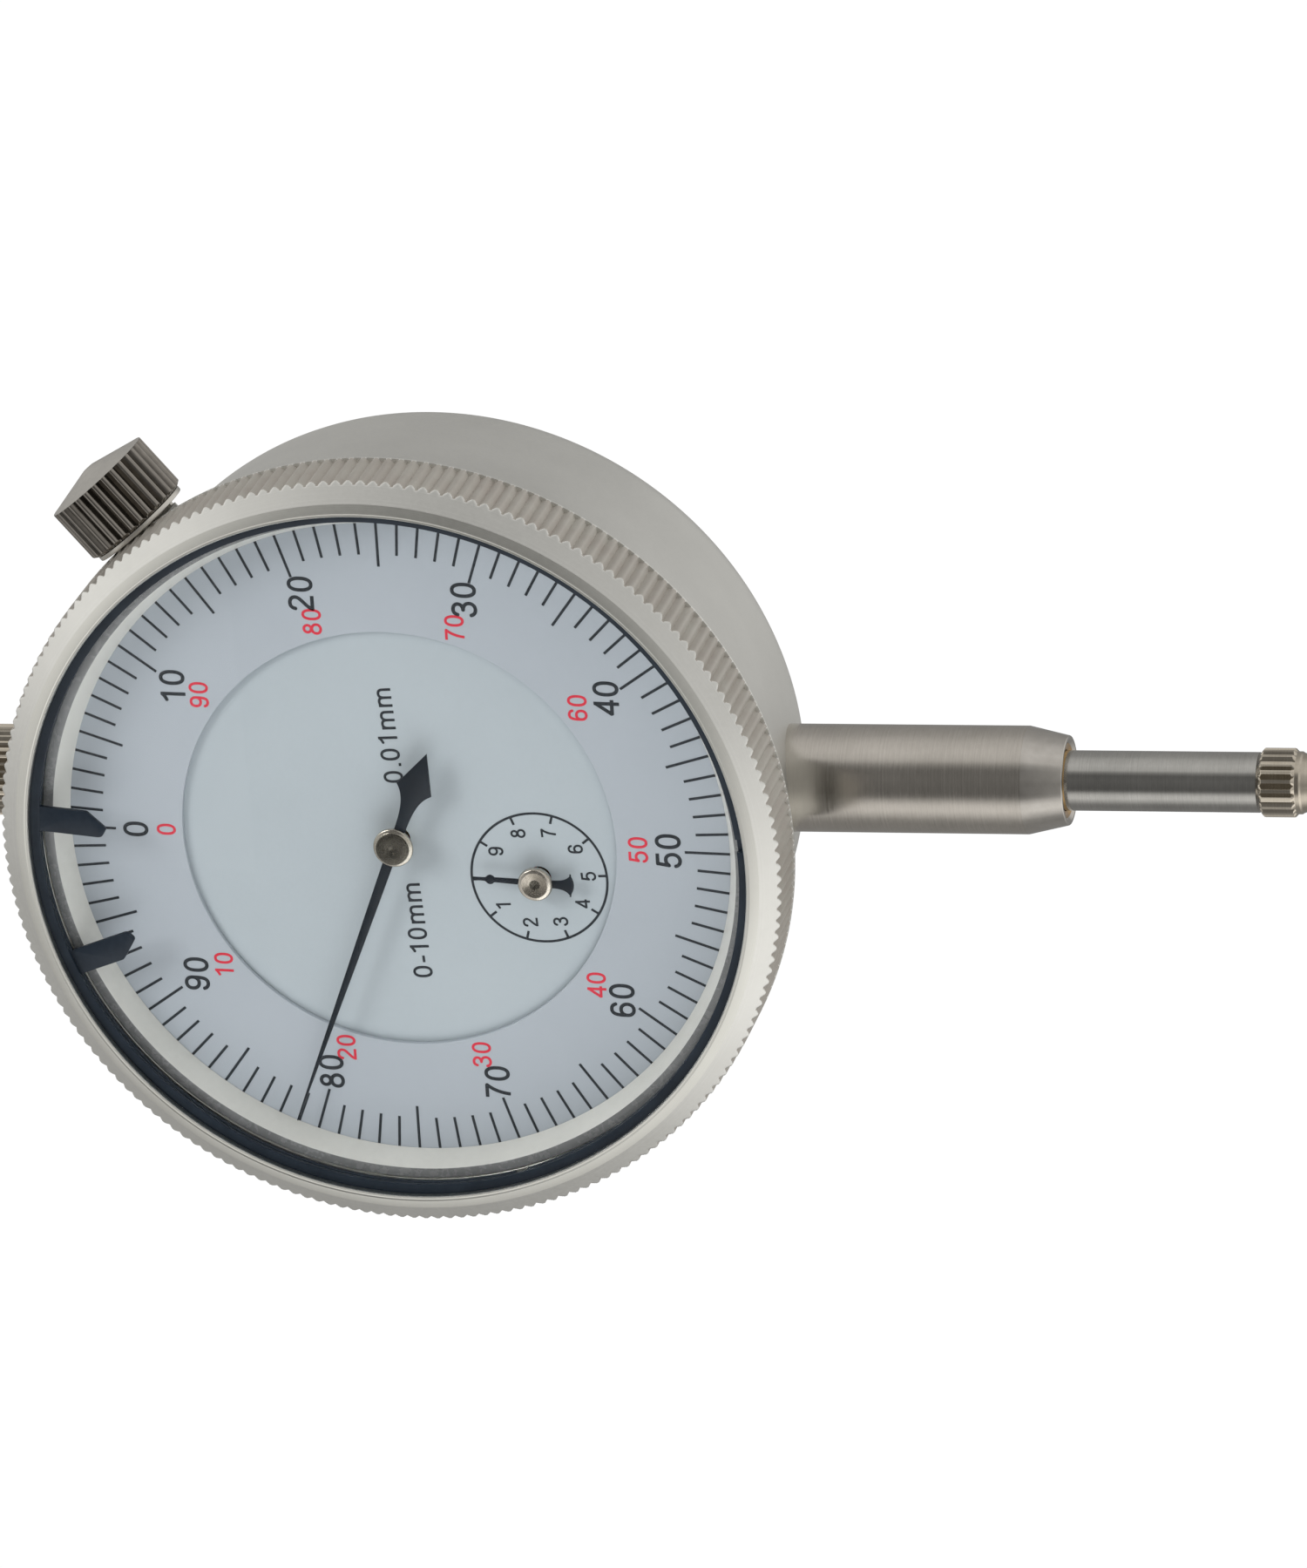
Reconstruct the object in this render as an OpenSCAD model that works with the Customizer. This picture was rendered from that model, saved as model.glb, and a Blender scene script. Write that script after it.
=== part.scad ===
// Plunger dial indicator, 0-10 mm by 0.01 mm, with lug back.
// Frame: millimetres, +Z up along the spindle, dial facing -Y, +X to the
// right of the dial. The origin is on the spindle axis, at the middle of the
// straight clamping length of the stem.

/* [Case] */
// Outer radius of the case just behind the bezel
case_r = 28.0; // [27.8:0.1:28.2]
// Outer radius of the case at its rear edge
case_rear_r = 26.85; // [26.7:0.05:27.1]
// Depth of the case from the dial face to the back
case_depth = 20.8; // [20.6:0.1:22]
// Radius of the rounded rear edge of the case
case_round = 3.8; // [3.4:0.1:3.9]
// Inner radius of the case
case_bore_r = 25.6; // [25.5:0.05:25.7]
// Thickness of the lug on the back cover
lug_t = 5.0; // [4:0.1:6]
// Radius of the hole in the lug
lug_hole_r = 3.25; // [2.5:0.05:3.5]
// Distance of the lug hole behind the back face
lug_reach = 7.5; // [6.5:0.1:10]

/* [Stem and spindle] */
// Radius of the stem that a holder clamps
stem_r = 4.0; // [3.9:0.01:4.1]
// Length of the stem from the dial centre to its lower end
stem_end = 47.9; // [46:0.1:50]
// Radius of the spindle
spindle_r = 2.22; // [2.1:0.01:2.25]
// Length of spindle that shows below the stem at rest
spindle_show = 14.1; // [13:0.1:18]
// Radial running clearance of the spindle in its bushes
spindle_clear = 0.03; // [0.02:0.01:0.06]
// Travel of the spindle
travel = 10.3; // [10.1:0.1:10.6]
// Radius of the contact ball
ball_r = 1.5; // [1.2:0.1:1.6]

/* [Bezel and dial] */
// Radius of the bezel over its knurled rim
bezel_r = 29.43; // [29.3:0.01:29.45]
// Radius of the printed scale edge
scale_r = 24.9; // [24.5:0.05:25]
// Radius of the window in the scale ring over the fixed inner dial
window_r = 16.4; // [15.5:0.05:16.8]
// Thickness of the crystal
crystal_t = 0.8; // [0.6:0.05:0.8]
// Turn of the bezel from its zero at rest, clockwise
bezel_set = 1.84; // [0:0.01:3.5]
// Angle of the first limit hand, clockwise from the top
limit_a_at = 6.3; // [0:0.1:40]
// Angle of the second limit hand, clockwise from the top
limit_b_at = -19.7; // [-40:0.1:-5]
// Reading of the main hand at rest, in hundredths of a turn from the bezel zero
hand_at = 81; // [70:1:90]
// Angle of the small hand at rest, clockwise from the top
small_hand_at = 4.0; // [0:0.1:8]

/* [Bezel clamp] */
// Angle of the clamp knob, clockwise from the top
clamp_at = 51.8; // [45:0.1:60]
// Radius of the clamp knob
knob_r = 4.25; // [3.8:0.05:4.5]
// Length of the knurled part of the knob
knob_l = 4.45; // [4:0.05:5]

/* [Gear train] */
// Pitch of the rack on the spindle
rack_pitch = 0.625; // [0.625]
// Teeth of the pinion on the rack
rack_teeth = 16; // [16]
// Teeth of the drive gear and of the take-up gear
gear_teeth = 100; // [100]
// Teeth of the centre pinion
centre_teeth = 10; // [10]
// Distance of the small hand arbor left of the dial centre
arbor_x = 3.05; // [3:0.01:3.1]
// Module of the two large gears and of the centre pinion
gear_mod = 0.195; // [0.195]

/* [Hidden] */
$fn = 96;

dial_y = -12.3;                    // dial face in front of the spindle axis
dial_z = 36.65;                    // dial centre above the origin
mod_r = rack_pitch / PI;           // module of the rack and its pinion
ax2 = gear_mod * (gear_teeth + centre_teeth) / 2;   // gear centre distance
arbor_y = sqrt(ax2 * ax2 - arbor_x * arbor_x);   // arbor below the centre
u_ang = atan2(arbor_y, arbor_x);   // direction of one gear centre to the next
rack_pr = rack_pitch * rack_teeth / (2 * PI);    // rack pinion pitch radius
rack_x = -arbor_x + rack_pr;       // pitch line of the rack
rack_h = -12.3;                    // height of the rack plane
case_t = 1.5;                      // thickness of the back cover
cover_r = 23.0;                    // radius of the back cover
pads = [30, 150, 270];             // angles of the plate pads
pillar_xy = [[-16.5, 8], [16.5, 8], [16.5, -8], [-16.5, -8]];
post_xy = [[-12.5, 2.5], [12.5, -1]];
rail_x = 5.6;                      // spring line beside the spindle

// A gear outline: z teeth, module m, half widths of a tooth at root, pitch
// and tip in modules
function gear_pts(z, m, root, tip, wr, wp, wt, ph) =
  [for (k = [0 : z - 1], s = [0 : 5])
    let (c = ph + k * 360 / z,
         r = s == 0 || s == 5 ? z * m / 2 - root * m
           : s == 1 || s == 4 ? z * m / 2 : z * m / 2 + tip * m,
         w = s == 0 || s == 5 ? wr : s == 1 || s == 4 ? wp : wt,
         sg = s < 3 ? -1 : 1,
         a = c + sg * w * m / r * 180 / PI)
      [r * cos(a), r * sin(a)]];

// The dial frame: x to the right, y up, z out of the dial to the viewer
module dial() { translate([0, dial_y, dial_z]) rotate([90, 0, 0]) children(); }
// A disc or tube between two heights above the dial face
module slab(r, h0, h1) { translate([0, 0, h0]) cylinder(r = r, h = h1 - h0); }
// Children placed on the spindle axis with z measured from the dial centre
module line() { translate([0, 0, dial_z]) children(); }
module rod(r, z0, z1) { translate([0, 0, z0]) cylinder(r = r, h = z1 - z0); }
module tube(ro, ri, z0, z1) {
  difference() { rod(ro, z0, z1); rod(ri, z0 - 1, z1 + 1); }
}
module clamp_frame() { dial() rotate([0, 0, -clamp_at]) children(); }
// A rod along the clamp axis between two distances from the dial axis
module crod(r, a, b) { translate([0, a, -3.9]) rotate([-90, 0, 0]) cylinder(r = r, h = b - a); }

module case() color([0.66, 0.66, 0.63]) difference() {
  union() {
    dial() difference() {
      rotate_extrude() polygon(concat(
        [[case_bore_r, -0.9], [27.3, -0.9], [27.3, -1.3], [27.0, -1.3], [27.0, -1.9],
         [27.3, -1.9], [27.3, -2.35], [28.5, -2.35], [28.6, -2.5], [28.6, -2.9], [case_r, -3.4]],
        [for (i = [0 : 12]) [case_rear_r - case_round + case_round * cos(i * 7.5),
                             -case_depth + case_round - case_round * sin(i * 7.5)]],
        [[cover_r + 0.03, -case_depth], [cover_r + 0.03, -case_depth + case_t],
         [19.5, -case_depth + case_t], [19.5, -case_depth + 3], [case_bore_r, -case_depth + 3]]));
      for (a = [45 : 90 : 315]) rotate([0, 0, a]) translate([21.3, 0, 0]) slab(0.85, -case_depth, -case_depth + 4);
    }
    dial() for (a = pads) rotate([0, 0, a]) intersection() {
      translate([23.4, 0, 0]) difference() { slab(2.4, -7, -3.42); slab(0.85, -6.5, -3); }
      slab(case_bore_r + 0.5, -8, 0);
    }
    clamp_frame() intersection() {
      translate([-2.75, 25.9, -6.6]) cube([5.5, 3.2, 4.15]);
      translate([0, 0, -0.7]) crod(3.3, 25, 30);
    }
  }
  line() { rod(3.51, -40, -20); rod(3.73, -40, -27.0); rod(2.9, 20, 40); }
  clamp_frame() crod(1.03, 24, 31);
}

module back_cover() color([0.6, 0.6, 0.58]) {
  dial() difference() {
    union() {
      slab(cover_r, -case_depth, -case_depth + case_t);
      translate([-lug_t / 2, -6, -case_depth - lug_reach]) cube([lug_t, 12, lug_reach + 0.5]);
      translate([-lug_t / 2, 0, -case_depth - lug_reach]) rotate([0, 90, 0]) cylinder(r = 6, h = lug_t);
    }
    for (a = [45 : 90 : 315]) rotate([0, 0, a]) translate([21.3, 0, 0]) {
      slab(1.0, -case_depth - 1, 0);
      translate([0, 0, -case_depth - 0.01]) cylinder(r1 = 1.75, r2 = 1.0, h = 0.75);
    }
    translate([-lug_t, 0, -case_depth - lug_reach]) rotate([0, 90, 0]) cylinder(r = lug_hole_r, h = 2 * lug_t);
  }
}

module back_cover_screws() color([0.5, 0.5, 0.5]) dial()
  for (a = [45 : 90 : 315]) rotate([0, 0, a]) translate([21.3, 0, 0]) difference() {
    union() {
      slab(0.8, -case_depth + 0.5, -case_depth + 2.9);
      translate([0, 0, -case_depth + 0.02]) cylinder(r1 = 1.7, r2 = 0.8, h = 0.8);
    }
    translate([-2, -0.2, -case_depth - 0.5]) cube([4, 0.4, 0.8]);
  }

module stem() color([0.6, 0.58, 0.55]) line() difference() {
  union() {
    rod(4.9, -24.6, -23.2);
    rod(3.5, -27.0, -24.5);
    rod(3.7, -27.7, -26.9);
    rod(stem_r, -44.9, -27.7);
    translate([0, 0, -stem_end]) cylinder(r1 = 3.3, r2 = stem_r, h = stem_end - 44.9);
  }
  rod(2.75, -60, 0);
  translate([0, 0, -stem_end - 0.01]) cylinder(r1 = 3.0, r2 = 2.75, h = 0.3);
}

module lower_bush() color([0.72, 0.58, 0.36]) line()
  tube(2.74, spindle_r + spindle_clear, -stem_end + 0.15, -stem_end + 11);

module upper_bush() color([0.72, 0.58, 0.36]) line() difference() {
  union() { rod(2.88, 24.4, 27.9); rod(3.4, 22.9, 24.4); }
  rod(spindle_r + spindle_clear, 20, 30);
}

module front_plate() color([0.78, 0.66, 0.38]) dial() difference() {
  slab(25.4, -3.4, -2.2);
  slab(0.9, -5, 0);
  translate([-arbor_x, -arbor_y]) slab(0.9, -5, 0);
  translate([arbor_x, arbor_y]) slab(0.9, -5, 0);
  for (a = pads) rotate([0, 0, a]) translate([23.4, 0]) slab(1.05, -5, 0);
  for (p = pillar_xy) translate(p) slab(0.85, -5, 0);
  for (p = post_xy) translate(p) slab(0.85, -5, 0);
  for (a = [0 : 120 : 240]) rotate([0, 0, a]) translate([14, 0]) slab(0.72, -5, 0);
  translate([arbor_x + 6.6, arbor_y]) slab(0.6, -5, 0);
}

module front_plate_screws() color([0.55, 0.55, 0.55]) dial()
  for (a = pads) rotate([0, 0, a]) translate([23.4, 0]) difference() {
    union() { slab(0.8, -6.2, -2.0); slab(1.6, -2.19, -1.35); }
    translate([-2, -0.2, -1.7]) cube([4, 0.4, 1]);
  }

module pillars() color([0.8, 0.68, 0.4]) dial() for (p = pillar_xy) translate(p) difference() {
  union() { slab(1.5, -15.19, -3.41); slab(0.8, -3.5, -2.3); }
  slab(0.72, -16, -12);
}

module rear_plate() color([0.78, 0.66, 0.38]) dial() difference() {
  translate([0, 0, -16.2]) linear_extrude(1) difference() {
    intersection() {
      square([38, 26], center = true);
      circle(r = 20.4);
    }
    translate([0, 9.5]) square([9, 12], center = true);
  }
  for (p = pillar_xy) translate(p) slab(0.9, -20, 0);
  translate([-arbor_x, -arbor_y]) slab(0.9, -20, 0);
  for (z = [-5, 4]) translate([rail_x + 3.4, z]) slab(0.72, -20, 0);
  translate([rail_x, -9.8]) slab(0.62, -20, 0);
}

module pillar_screws() color([0.55, 0.55, 0.55]) dial() for (p = pillar_xy) translate(p) difference() {
  union() { slab(0.7, -16.3, -13); slab(1.5, -17.0, -16.21); }
  translate([-2, -0.2, -17.5]) cube([4, 0.4, 0.85]);
}

module bridge() color([0.78, 0.66, 0.38]) dial() translate([0, 0, -9.2]) linear_extrude(1) difference() {
  union() {
    circle(r = 3);
    for (p = post_xy) { translate(p) circle(r = 2.6); }
    rotate(atan2(2.5, -12.5)) translate([0, -2]) square([12.7, 4]);
    rotate(atan2(-1, 12.5)) translate([0, -2]) square([12.5, 4]);
    rotate(u_ang) translate([0, -2]) square([ax2, 4]);
    translate([arbor_x, arbor_y]) circle(r = 2.6);
  }
  circle(r = 0.9);
  translate([arbor_x, arbor_y]) circle(r = 0.9);
  for (p = post_xy) translate(p) circle(r = 0.85);
}

module bridge_posts() color([0.8, 0.68, 0.4]) dial() for (p = post_xy) translate(p) difference() {
  union() { slab(1.4, -8.19, -3.41); slab(0.8, -3.5, -2.3); }
  slab(0.72, -9, -5.5);
}

module bridge_screws() color([0.55, 0.55, 0.55]) dial() for (p = post_xy) translate(p) difference() {
  union() { slab(0.7, -9.3, -6); slab(1.4, -9.9, -9.21); }
  translate([-2, -0.2, -10.3]) cube([4, 0.4, 0.75]);
}

module bush(r, h0, h1) difference() { slab(0.88, h0, h1); slab(r + 0.03, h0 - 1, h1 + 1); }
module pivot_bushes() color([0.72, 0.2, 0.3]) dial() {
  bush(0.5, -3.4, -2.2);
  bush(0.5, -9.2, -8.2);
  translate([-arbor_x, -arbor_y]) { bush(0.6, -3.4, -2.2); bush(0.6, -16.2, -15.2); }
  translate([arbor_x, arbor_y]) { bush(0.5, -3.4, -2.2); bush(0.5, -9.2, -8.2); }
}

module inner_dial() color([0.68, 0.72, 0.75]) dial() difference() {
  union() {
    slab(window_r + 1.2, -0.85, -0.46);
    for (a = [0 : 120 : 240]) rotate([0, 0, a]) translate([14, 0]) { slab(0.7, -3.2, -0.8); slab(1.2, -2.19, -0.8); }
  }
  slab(0.8, -5, 1);
  translate([-arbor_x, -arbor_y]) slab(0.9, -5, 1);
}

// Flat spiral between the take-up collet and its stud
hs_n = 110;
function hs_r(i) = 1.15 + 5.3 * i / hs_n;
function hs_a(i) = 360 * 4.5 * i / hs_n - 360 * 4.5;
module hairspring() color([0.35, 0.38, 0.5]) dial() translate([arbor_x, arbor_y, -4.75]) linear_extrude(0.5)
  polygon(concat([for (i = [0 : hs_n]) [hs_r(i) * cos(hs_a(i)), hs_r(i) * sin(hs_a(i))]],
                 [for (i = [hs_n : -1 : 0]) [(hs_r(i) + 0.12) * cos(hs_a(i)), (hs_r(i) + 0.12) * sin(hs_a(i))]]));

module hairspring_stud() color([0.75, 0.63, 0.36]) dial() translate([arbor_x + 6.6, arbor_y]) difference() {
  union() { slab(0.8, -5.0, -3.41); slab(0.58, -3.5, -2.3); }
  translate([-0.25, -2, -4.8]) cube([0.25, 4, 0.6]);
}

// Two rails beside the spring line hold the guide pin square
module guide_rail() color([0.78, 0.66, 0.38]) dial() difference() {
  translate([rail_x + 1.8, -7.4, -15.19]) cube([3.0, 13.8, 4.8]);
  translate([rail_x + 0.8, -3.72, rack_h - 0.74]) cube([4.4, 18, 1.48]);
  for (z = [-5, 4]) translate([rail_x + 3.4, z]) slab(0.72, -20, -13.05);
}

module guide_rail_screws() color([0.55, 0.55, 0.55]) dial() for (z = [-5, 4]) translate([rail_x + 3.4, z]) difference() {
  union() { slab(0.7, -16.3, -13.5); slab(1.4, -17.0, -16.21); }
  translate([-2, -0.2, -17.5]) cube([4, 0.4, 0.85]);
}

// Tension spring: a helix swept as one closed tube
sp_n = 14; sp_k = 12; sp_c = 1.15; sp_w = 0.16; sp_s = 6;
sp_z0 = -9.0; sp_z1 = -3.75;
function sp_p(i) = [sp_c * cos(i * 360 / sp_k), sp_c * sin(i * 360 / sp_k), sp_z0 + (sp_z1 - sp_z0) * i / (sp_n * sp_k)];
module helix() {
  n = sp_n * sp_k;
  pts = [for (i = [0 : n], j = [0 : sp_s - 1])
    let (a = i * 360 / sp_k, b = j * 360 / sp_s)
      sp_p(i) + [sp_w * cos(b) * cos(a), sp_w * cos(b) * sin(a), sp_w * sin(b)]];
  faces = concat([[for (j = [0 : sp_s - 1]) j]],
    [for (i = [0 : n - 1], j = [0 : sp_s - 1])
      let (k = (j + 1) % sp_s)
        [i * sp_s + j, (i + 1) * sp_s + j, (i + 1) * sp_s + k, i * sp_s + k]],
    [[for (j = [sp_s - 1 : -1 : 0]) n * sp_s + j]]);
  polyhedron(points = pts, faces = faces, convexity = 8);
}
module return_spring() color([0.4, 0.42, 0.45]) line() translate([rail_x, 0, 0]) helix();

module spring_post() color([0.6, 0.6, 0.6]) dial() translate([rail_x, -9.8]) {
  slab(0.6, -16.1, -11.2);
  slab(0.85, -15.19, -13.8);
}

module bezel_retaining_wire() color([0.5, 0.5, 0.52]) dial() difference() {
  rotate_extrude() polygon([[27.05, -1.85], [27.55, -1.85], [27.55, -1.35], [27.05, -1.35]]);
  rotate([0, 0, 200]) translate([20, -1, -3]) cube([12, 2, 4]);
}

// Rack teeth as one comb that cuts the left side of the spindle
module rack_cut() {
  n0 = -21; n1 = 5;
  g = 0.012;
  xt = rack_x - mod_r; xr = rack_x + 1.22 * mod_r;
  ht = rack_pitch / 4 - mod_r * tan(20) - g;
  hr = rack_pitch / 4 + 1.22 * mod_r * tan(20) - g;
  rotate([90, 0, 0]) linear_extrude(8, center = true) polygon(concat(
    [[-4, -arbor_y + n0 * rack_pitch - hr]],
    [for (k = [n0 : n1]) each [
      [xr, -arbor_y + k * rack_pitch - rack_pitch / 2 + (rack_pitch / 2 - hr) * (k == n0 ? -1 : -1)],
      [xr, -arbor_y + k * rack_pitch - hr],
      [xt, -arbor_y + k * rack_pitch - ht],
      [xt, -arbor_y + k * rack_pitch + ht]]],
    [[xr, -arbor_y + n1 * rack_pitch + hr], [xr, -arbor_y + (n1 + 1) * rack_pitch - hr],
     [-4, -arbor_y + (n1 + 1) * rack_pitch - hr]]));
}
module spindle() color([0.62, 0.62, 0.6]) line() difference() {
  union() {
    rod(spindle_r, -stem_end - spindle_show, 29.3);
    rod(1.5, 29.2, 34.0);
  }
  rod(1.27, -stem_end - spindle_show - 1, -stem_end - spindle_show + 5);
  rack_cut();
  translate([0, 0, -3.0]) rotate([0, 90, 0]) cylinder(r = 0.71, h = 5);
}

tip_z = -stem_end - spindle_show;      // lower end of the spindle
module contact_body() color([0.6, 0.58, 0.55]) line() difference() {
  union() {
    rod(1.24, tip_z - 1, tip_z + 4.5);
    rod(2.3, tip_z - 3.2, tip_z - 0.06);
    rod(2.54, tip_z - 2.8, tip_z - 0.12);
    translate([0, 0, tip_z - 6.2]) cylinder(r1 = 1.35, r2 = 2.28, h = 3.1);
  }
  translate([0, 0, tip_z - 6.0]) sphere(r = ball_r + 0.01);
}

module contact_ball() color([0.75, 0.75, 0.76]) line() translate([0, 0, tip_z - 6.0]) sphere(r = ball_r);

module lifting_cap() color([0.62, 0.6, 0.56]) line() difference() {
  union() {
    rod(3.45, 28.6, 37.2);
    translate([0, 0, 37.2]) cylinder(r1 = 3.45, r2 = 2.9, h = 0.8);
  }
  rod(1.52, 28, 34.2);
  rod(spindle_r + 0.02, 28, 29.35);
}

module guide_pin() color([0.6, 0.6, 0.6]) line() translate([0, 0, -3.0]) rotate([0, 90, 0])
  translate([0, 0, 0.3]) cylinder(r = 0.7, h = rail_x + 3.2);

module centre_pinion() color([0.8, 0.68, 0.4]) dial() {
  slab(0.5, -9.15, 1.45);
  translate([0, 0, -7.1]) linear_extrude(2.2)
    polygon(gear_pts(centre_teeth, gear_mod, 1.2, 0.92, 0.62, 0.7, 0.3, u_ang + 180 + 18));
}

module main_hand() color([0.12, 0.13, 0.16]) dial() rotate([0, 0, -(bezel_set + 3.6 * hand_at)])
  translate([0, 0, 1.12]) difference() {
    union() {
      cylinder(r = 1.3, h = 0.12);
      linear_extrude(0.12) polygon([[-0.33, 1], [-0.27, 6], [-0.19, 12], [-0.11, 18], [-0.05, 24.35],
               [0.05, 24.35], [0.11, 18], [0.19, 12], [0.27, 6], [0.33, 1],
               [0.42, -1.8], [0.4, -3.0], [0.66, -4.0], [0.86, -4.35], [1.33, -4.95], [0, -8.05],
               [-1.33, -4.95], [-0.86, -4.35], [-0.66, -4.0], [-0.4, -3.0], [-0.42, -1.8]]);
    }
    translate([0, 0, -1]) cylinder(r = 0.52, h = 3);
  }

module main_hand_hub() color([0.62, 0.6, 0.57]) dial() difference() {
  union() { slab(1.22, 1.25, 1.85); slab(1.5, 1.25, 1.5); slab(1.0, 0.5, 1.11); slab(0.515, 1.1, 1.26); }
  slab(0.505, 0, 1.5);
}

module rack_pinion() color([0.62, 0.62, 0.6]) dial() translate([-arbor_x, -arbor_y]) {
  slab(0.6, -16.1, -2.0);
  slab(0.45, -2.1, 0.9);
  translate([0, 0, rack_h - 1.2]) linear_extrude(2.4)
    polygon(gear_pts(rack_teeth, mod_r, 1.15, 0.95, 0.95, 0.72, 0.33, 360 / rack_teeth / 2));
}

// A gear with a hub and four spokes
module spoked_gear(ph, bore) linear_extrude(0.6) difference() {
  polygon(gear_pts(gear_teeth, gear_mod, 1.2, 0.95, 1.1, 0.72, 0.4, ph));
  difference() {
    circle(r = 8.6);
    circle(r = 2.2);
    for (a = [0, 90]) rotate(a + 20) square([20, 1.5], center = true);
  }
  circle(r = bore);
}

module drive_gear() color([0.8, 0.68, 0.4]) dial() translate([-arbor_x, -arbor_y, -6.3]) spoked_gear(u_ang, 0.61);

module small_hand() color([0.12, 0.13, 0.16]) dial() translate([-arbor_x, -arbor_y, 0.46]) rotate([0, 0, -small_hand_at]) difference() {
  union() {
    cylinder(r = 1.2, h = 0.12);
    translate([0, 3.45]) cylinder(r = 0.34, h = 0.12);
    linear_extrude(0.12) polygon([[-0.22, 0.9], [-0.18, 3.3], [-0.15, 3.6], [-0.12, 4.75], [0.12, 4.75], [0.15, 3.6], [0.18, 3.3], [0.22, 0.9],
             [0.3, -1.5], [0.42, -2.0], [0.82, -2.55], [0.42, -2.75], [0, -2.82], [-0.42, -2.75], [-0.82, -2.55], [-0.42, -2.0], [-0.3, -1.5]]);
  }
  translate([0, 0, -1]) cylinder(r = 0.47, h = 3);
}

module small_hand_hub() color([0.72, 0.7, 0.66]) dial() translate([-arbor_x, -arbor_y]) difference() {
  union() { slab(1.3, 0.59, 0.9); slab(1.1, 0.59, 1.05); slab(0.9, -0.2, 0.45); slab(0.465, 0.4, 0.6); }
  slab(0.455, -1, 0.92);
}

module takeup_arbor() color([0.62, 0.62, 0.6]) dial() translate([arbor_x, arbor_y]) slab(0.5, -9.15, -2.3);
module takeup_gear() color([0.8, 0.68, 0.4]) dial() translate([arbor_x, arbor_y, -6.3]) spoked_gear(u_ang + 180, 0.51);
module takeup_collet() color([0.75, 0.63, 0.36]) dial() translate([arbor_x, arbor_y]) difference() {
  union() { slab(1.1, -5.0, -4.4); slab(0.9, -5.69, -5.0); }
  slab(0.51, -7, -3);
}

module bezel() color([0.78, 0.78, 0.76]) dial() rotate_extrude() polygon([
  [27.36, -2.2], [28.9, -2.2], [bezel_r, -1.6], [bezel_r, 3.1], [28.0, 4.38], [27.75, 4.4], [27.6, 4.28],
  [27.3, 4.28], [27.2, 4.36], [27.04, 4.3], [27.04, 3.72], [27.65, 3.72], [27.65, 1.93], [26.62, 1.93],
  [26.62, -0.42], [25.6, -0.42], [25.6, -0.8], [27.36, -0.8], [27.36, -1.28], [27.72, -1.28], [27.72, -1.92],
  [27.36, -1.92]]);

module crystal() color([0.85, 0.9, 0.92, 0.25]) dial() difference() {
  slab(27.6, 1.95, 1.95 + crystal_t);
  rotate_extrude() polygon([[27.4, 3.2], [28, 2.5], [28, 3.2]]);
}

module scale_ring() color([0.68, 0.72, 0.76]) dial() difference() {
  slab(26.55, -0.4, 0);
  slab(window_r, -1, 1);
}

module reflector_ring() color([0.75, 0.74, 0.72]) dial() rotate_extrude()
  polygon([[scale_r, 0.02], [26.55, 0.02], [26.55, 1.91], [25.8, 1.91]]);

// A split ring in the bezel groove with one flat pointer. The reading edge is
// straight and the other corner is cut back; side 1 cuts the clockwise corner
pointer = [[-0.97, 27], [0.97, 27], [0.97, 22.9], [-0.18, 21.5], [-0.42, 21.42],
  [-0.72, 21.58], [-0.97, 21.98]];
module limit_hand(h0, h1, at, gap, side) dial() {
  difference() {
    rotate_extrude() polygon([[26.38, h0], [27.6, h0], [27.6, h1], [26.38, h1]]);
    rotate([0, 0, 90 - gap]) translate([20, -0.5, 0]) cube([12, 1.0, 6]);
  }
  rotate([0, 0, -at]) translate([0, 0, h0 + 0.03]) linear_extrude(0.32) intersection() {
    polygon([for (p = pointer) [side * p[0], p[1]]]);
    circle(r = 26.9);
  }
}
module limit_hand_a() color([0.1, 0.11, 0.13]) limit_hand(3.26, 3.66, limit_a_at, 177, 1);
module limit_hand_b() color([0.1, 0.11, 0.13]) limit_hand(2.8, 3.2, limit_b_at, 253, -1);

module clamp_plate() color([0.6, 0.58, 0.54]) clamp_frame() difference() {
  union() {
    crod(3.9, 29.5, 29.88);
    translate([-1.5, 28.0, -7.15]) cube([3, 1.7, 0.45]);
  }
  crod(1.08, 20, 40);
}

module clamp_knob() color([0.45, 0.43, 0.4]) clamp_frame() {
  crod(0.98, 26.0, 30.0);
  crod(knob_r - 0.25, 29.9, 30.1);
  crod(knob_r, 30.05, 29.9 + knob_l);
  translate([0, 29.9 + knob_l, -3.9]) rotate([-90, 0, 0]) cylinder(r1 = knob_r - 0.1, r2 = 0.5, h = 0.9);
}

case();
back_cover();
back_cover_screws();
stem();
lower_bush();
upper_bush();
front_plate();
front_plate_screws();
pillars();
rear_plate();
pillar_screws();
bridge();
bridge_posts();
bridge_screws();
pivot_bushes();
inner_dial();
hairspring();
hairspring_stud();
guide_rail();
guide_rail_screws();
return_spring();
spring_post();
bezel_retaining_wire();
spindle();
contact_body();
contact_ball();
lifting_cap();
guide_pin();
centre_pinion();
main_hand();
main_hand_hub();
rack_pinion();
drive_gear();
small_hand();
small_hand_hub();
takeup_arbor();
takeup_gear();
takeup_collet();
bezel();
crystal();
scale_ring();
reflector_ring();
limit_hand_a();
limit_hand_b();
clamp_plate();
clamp_knob();
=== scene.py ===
import math

import bmesh
import bpy
import numpy as np
from mathutils import Matrix, Vector
from mathutils.geometry import tessellate_polygon


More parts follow.
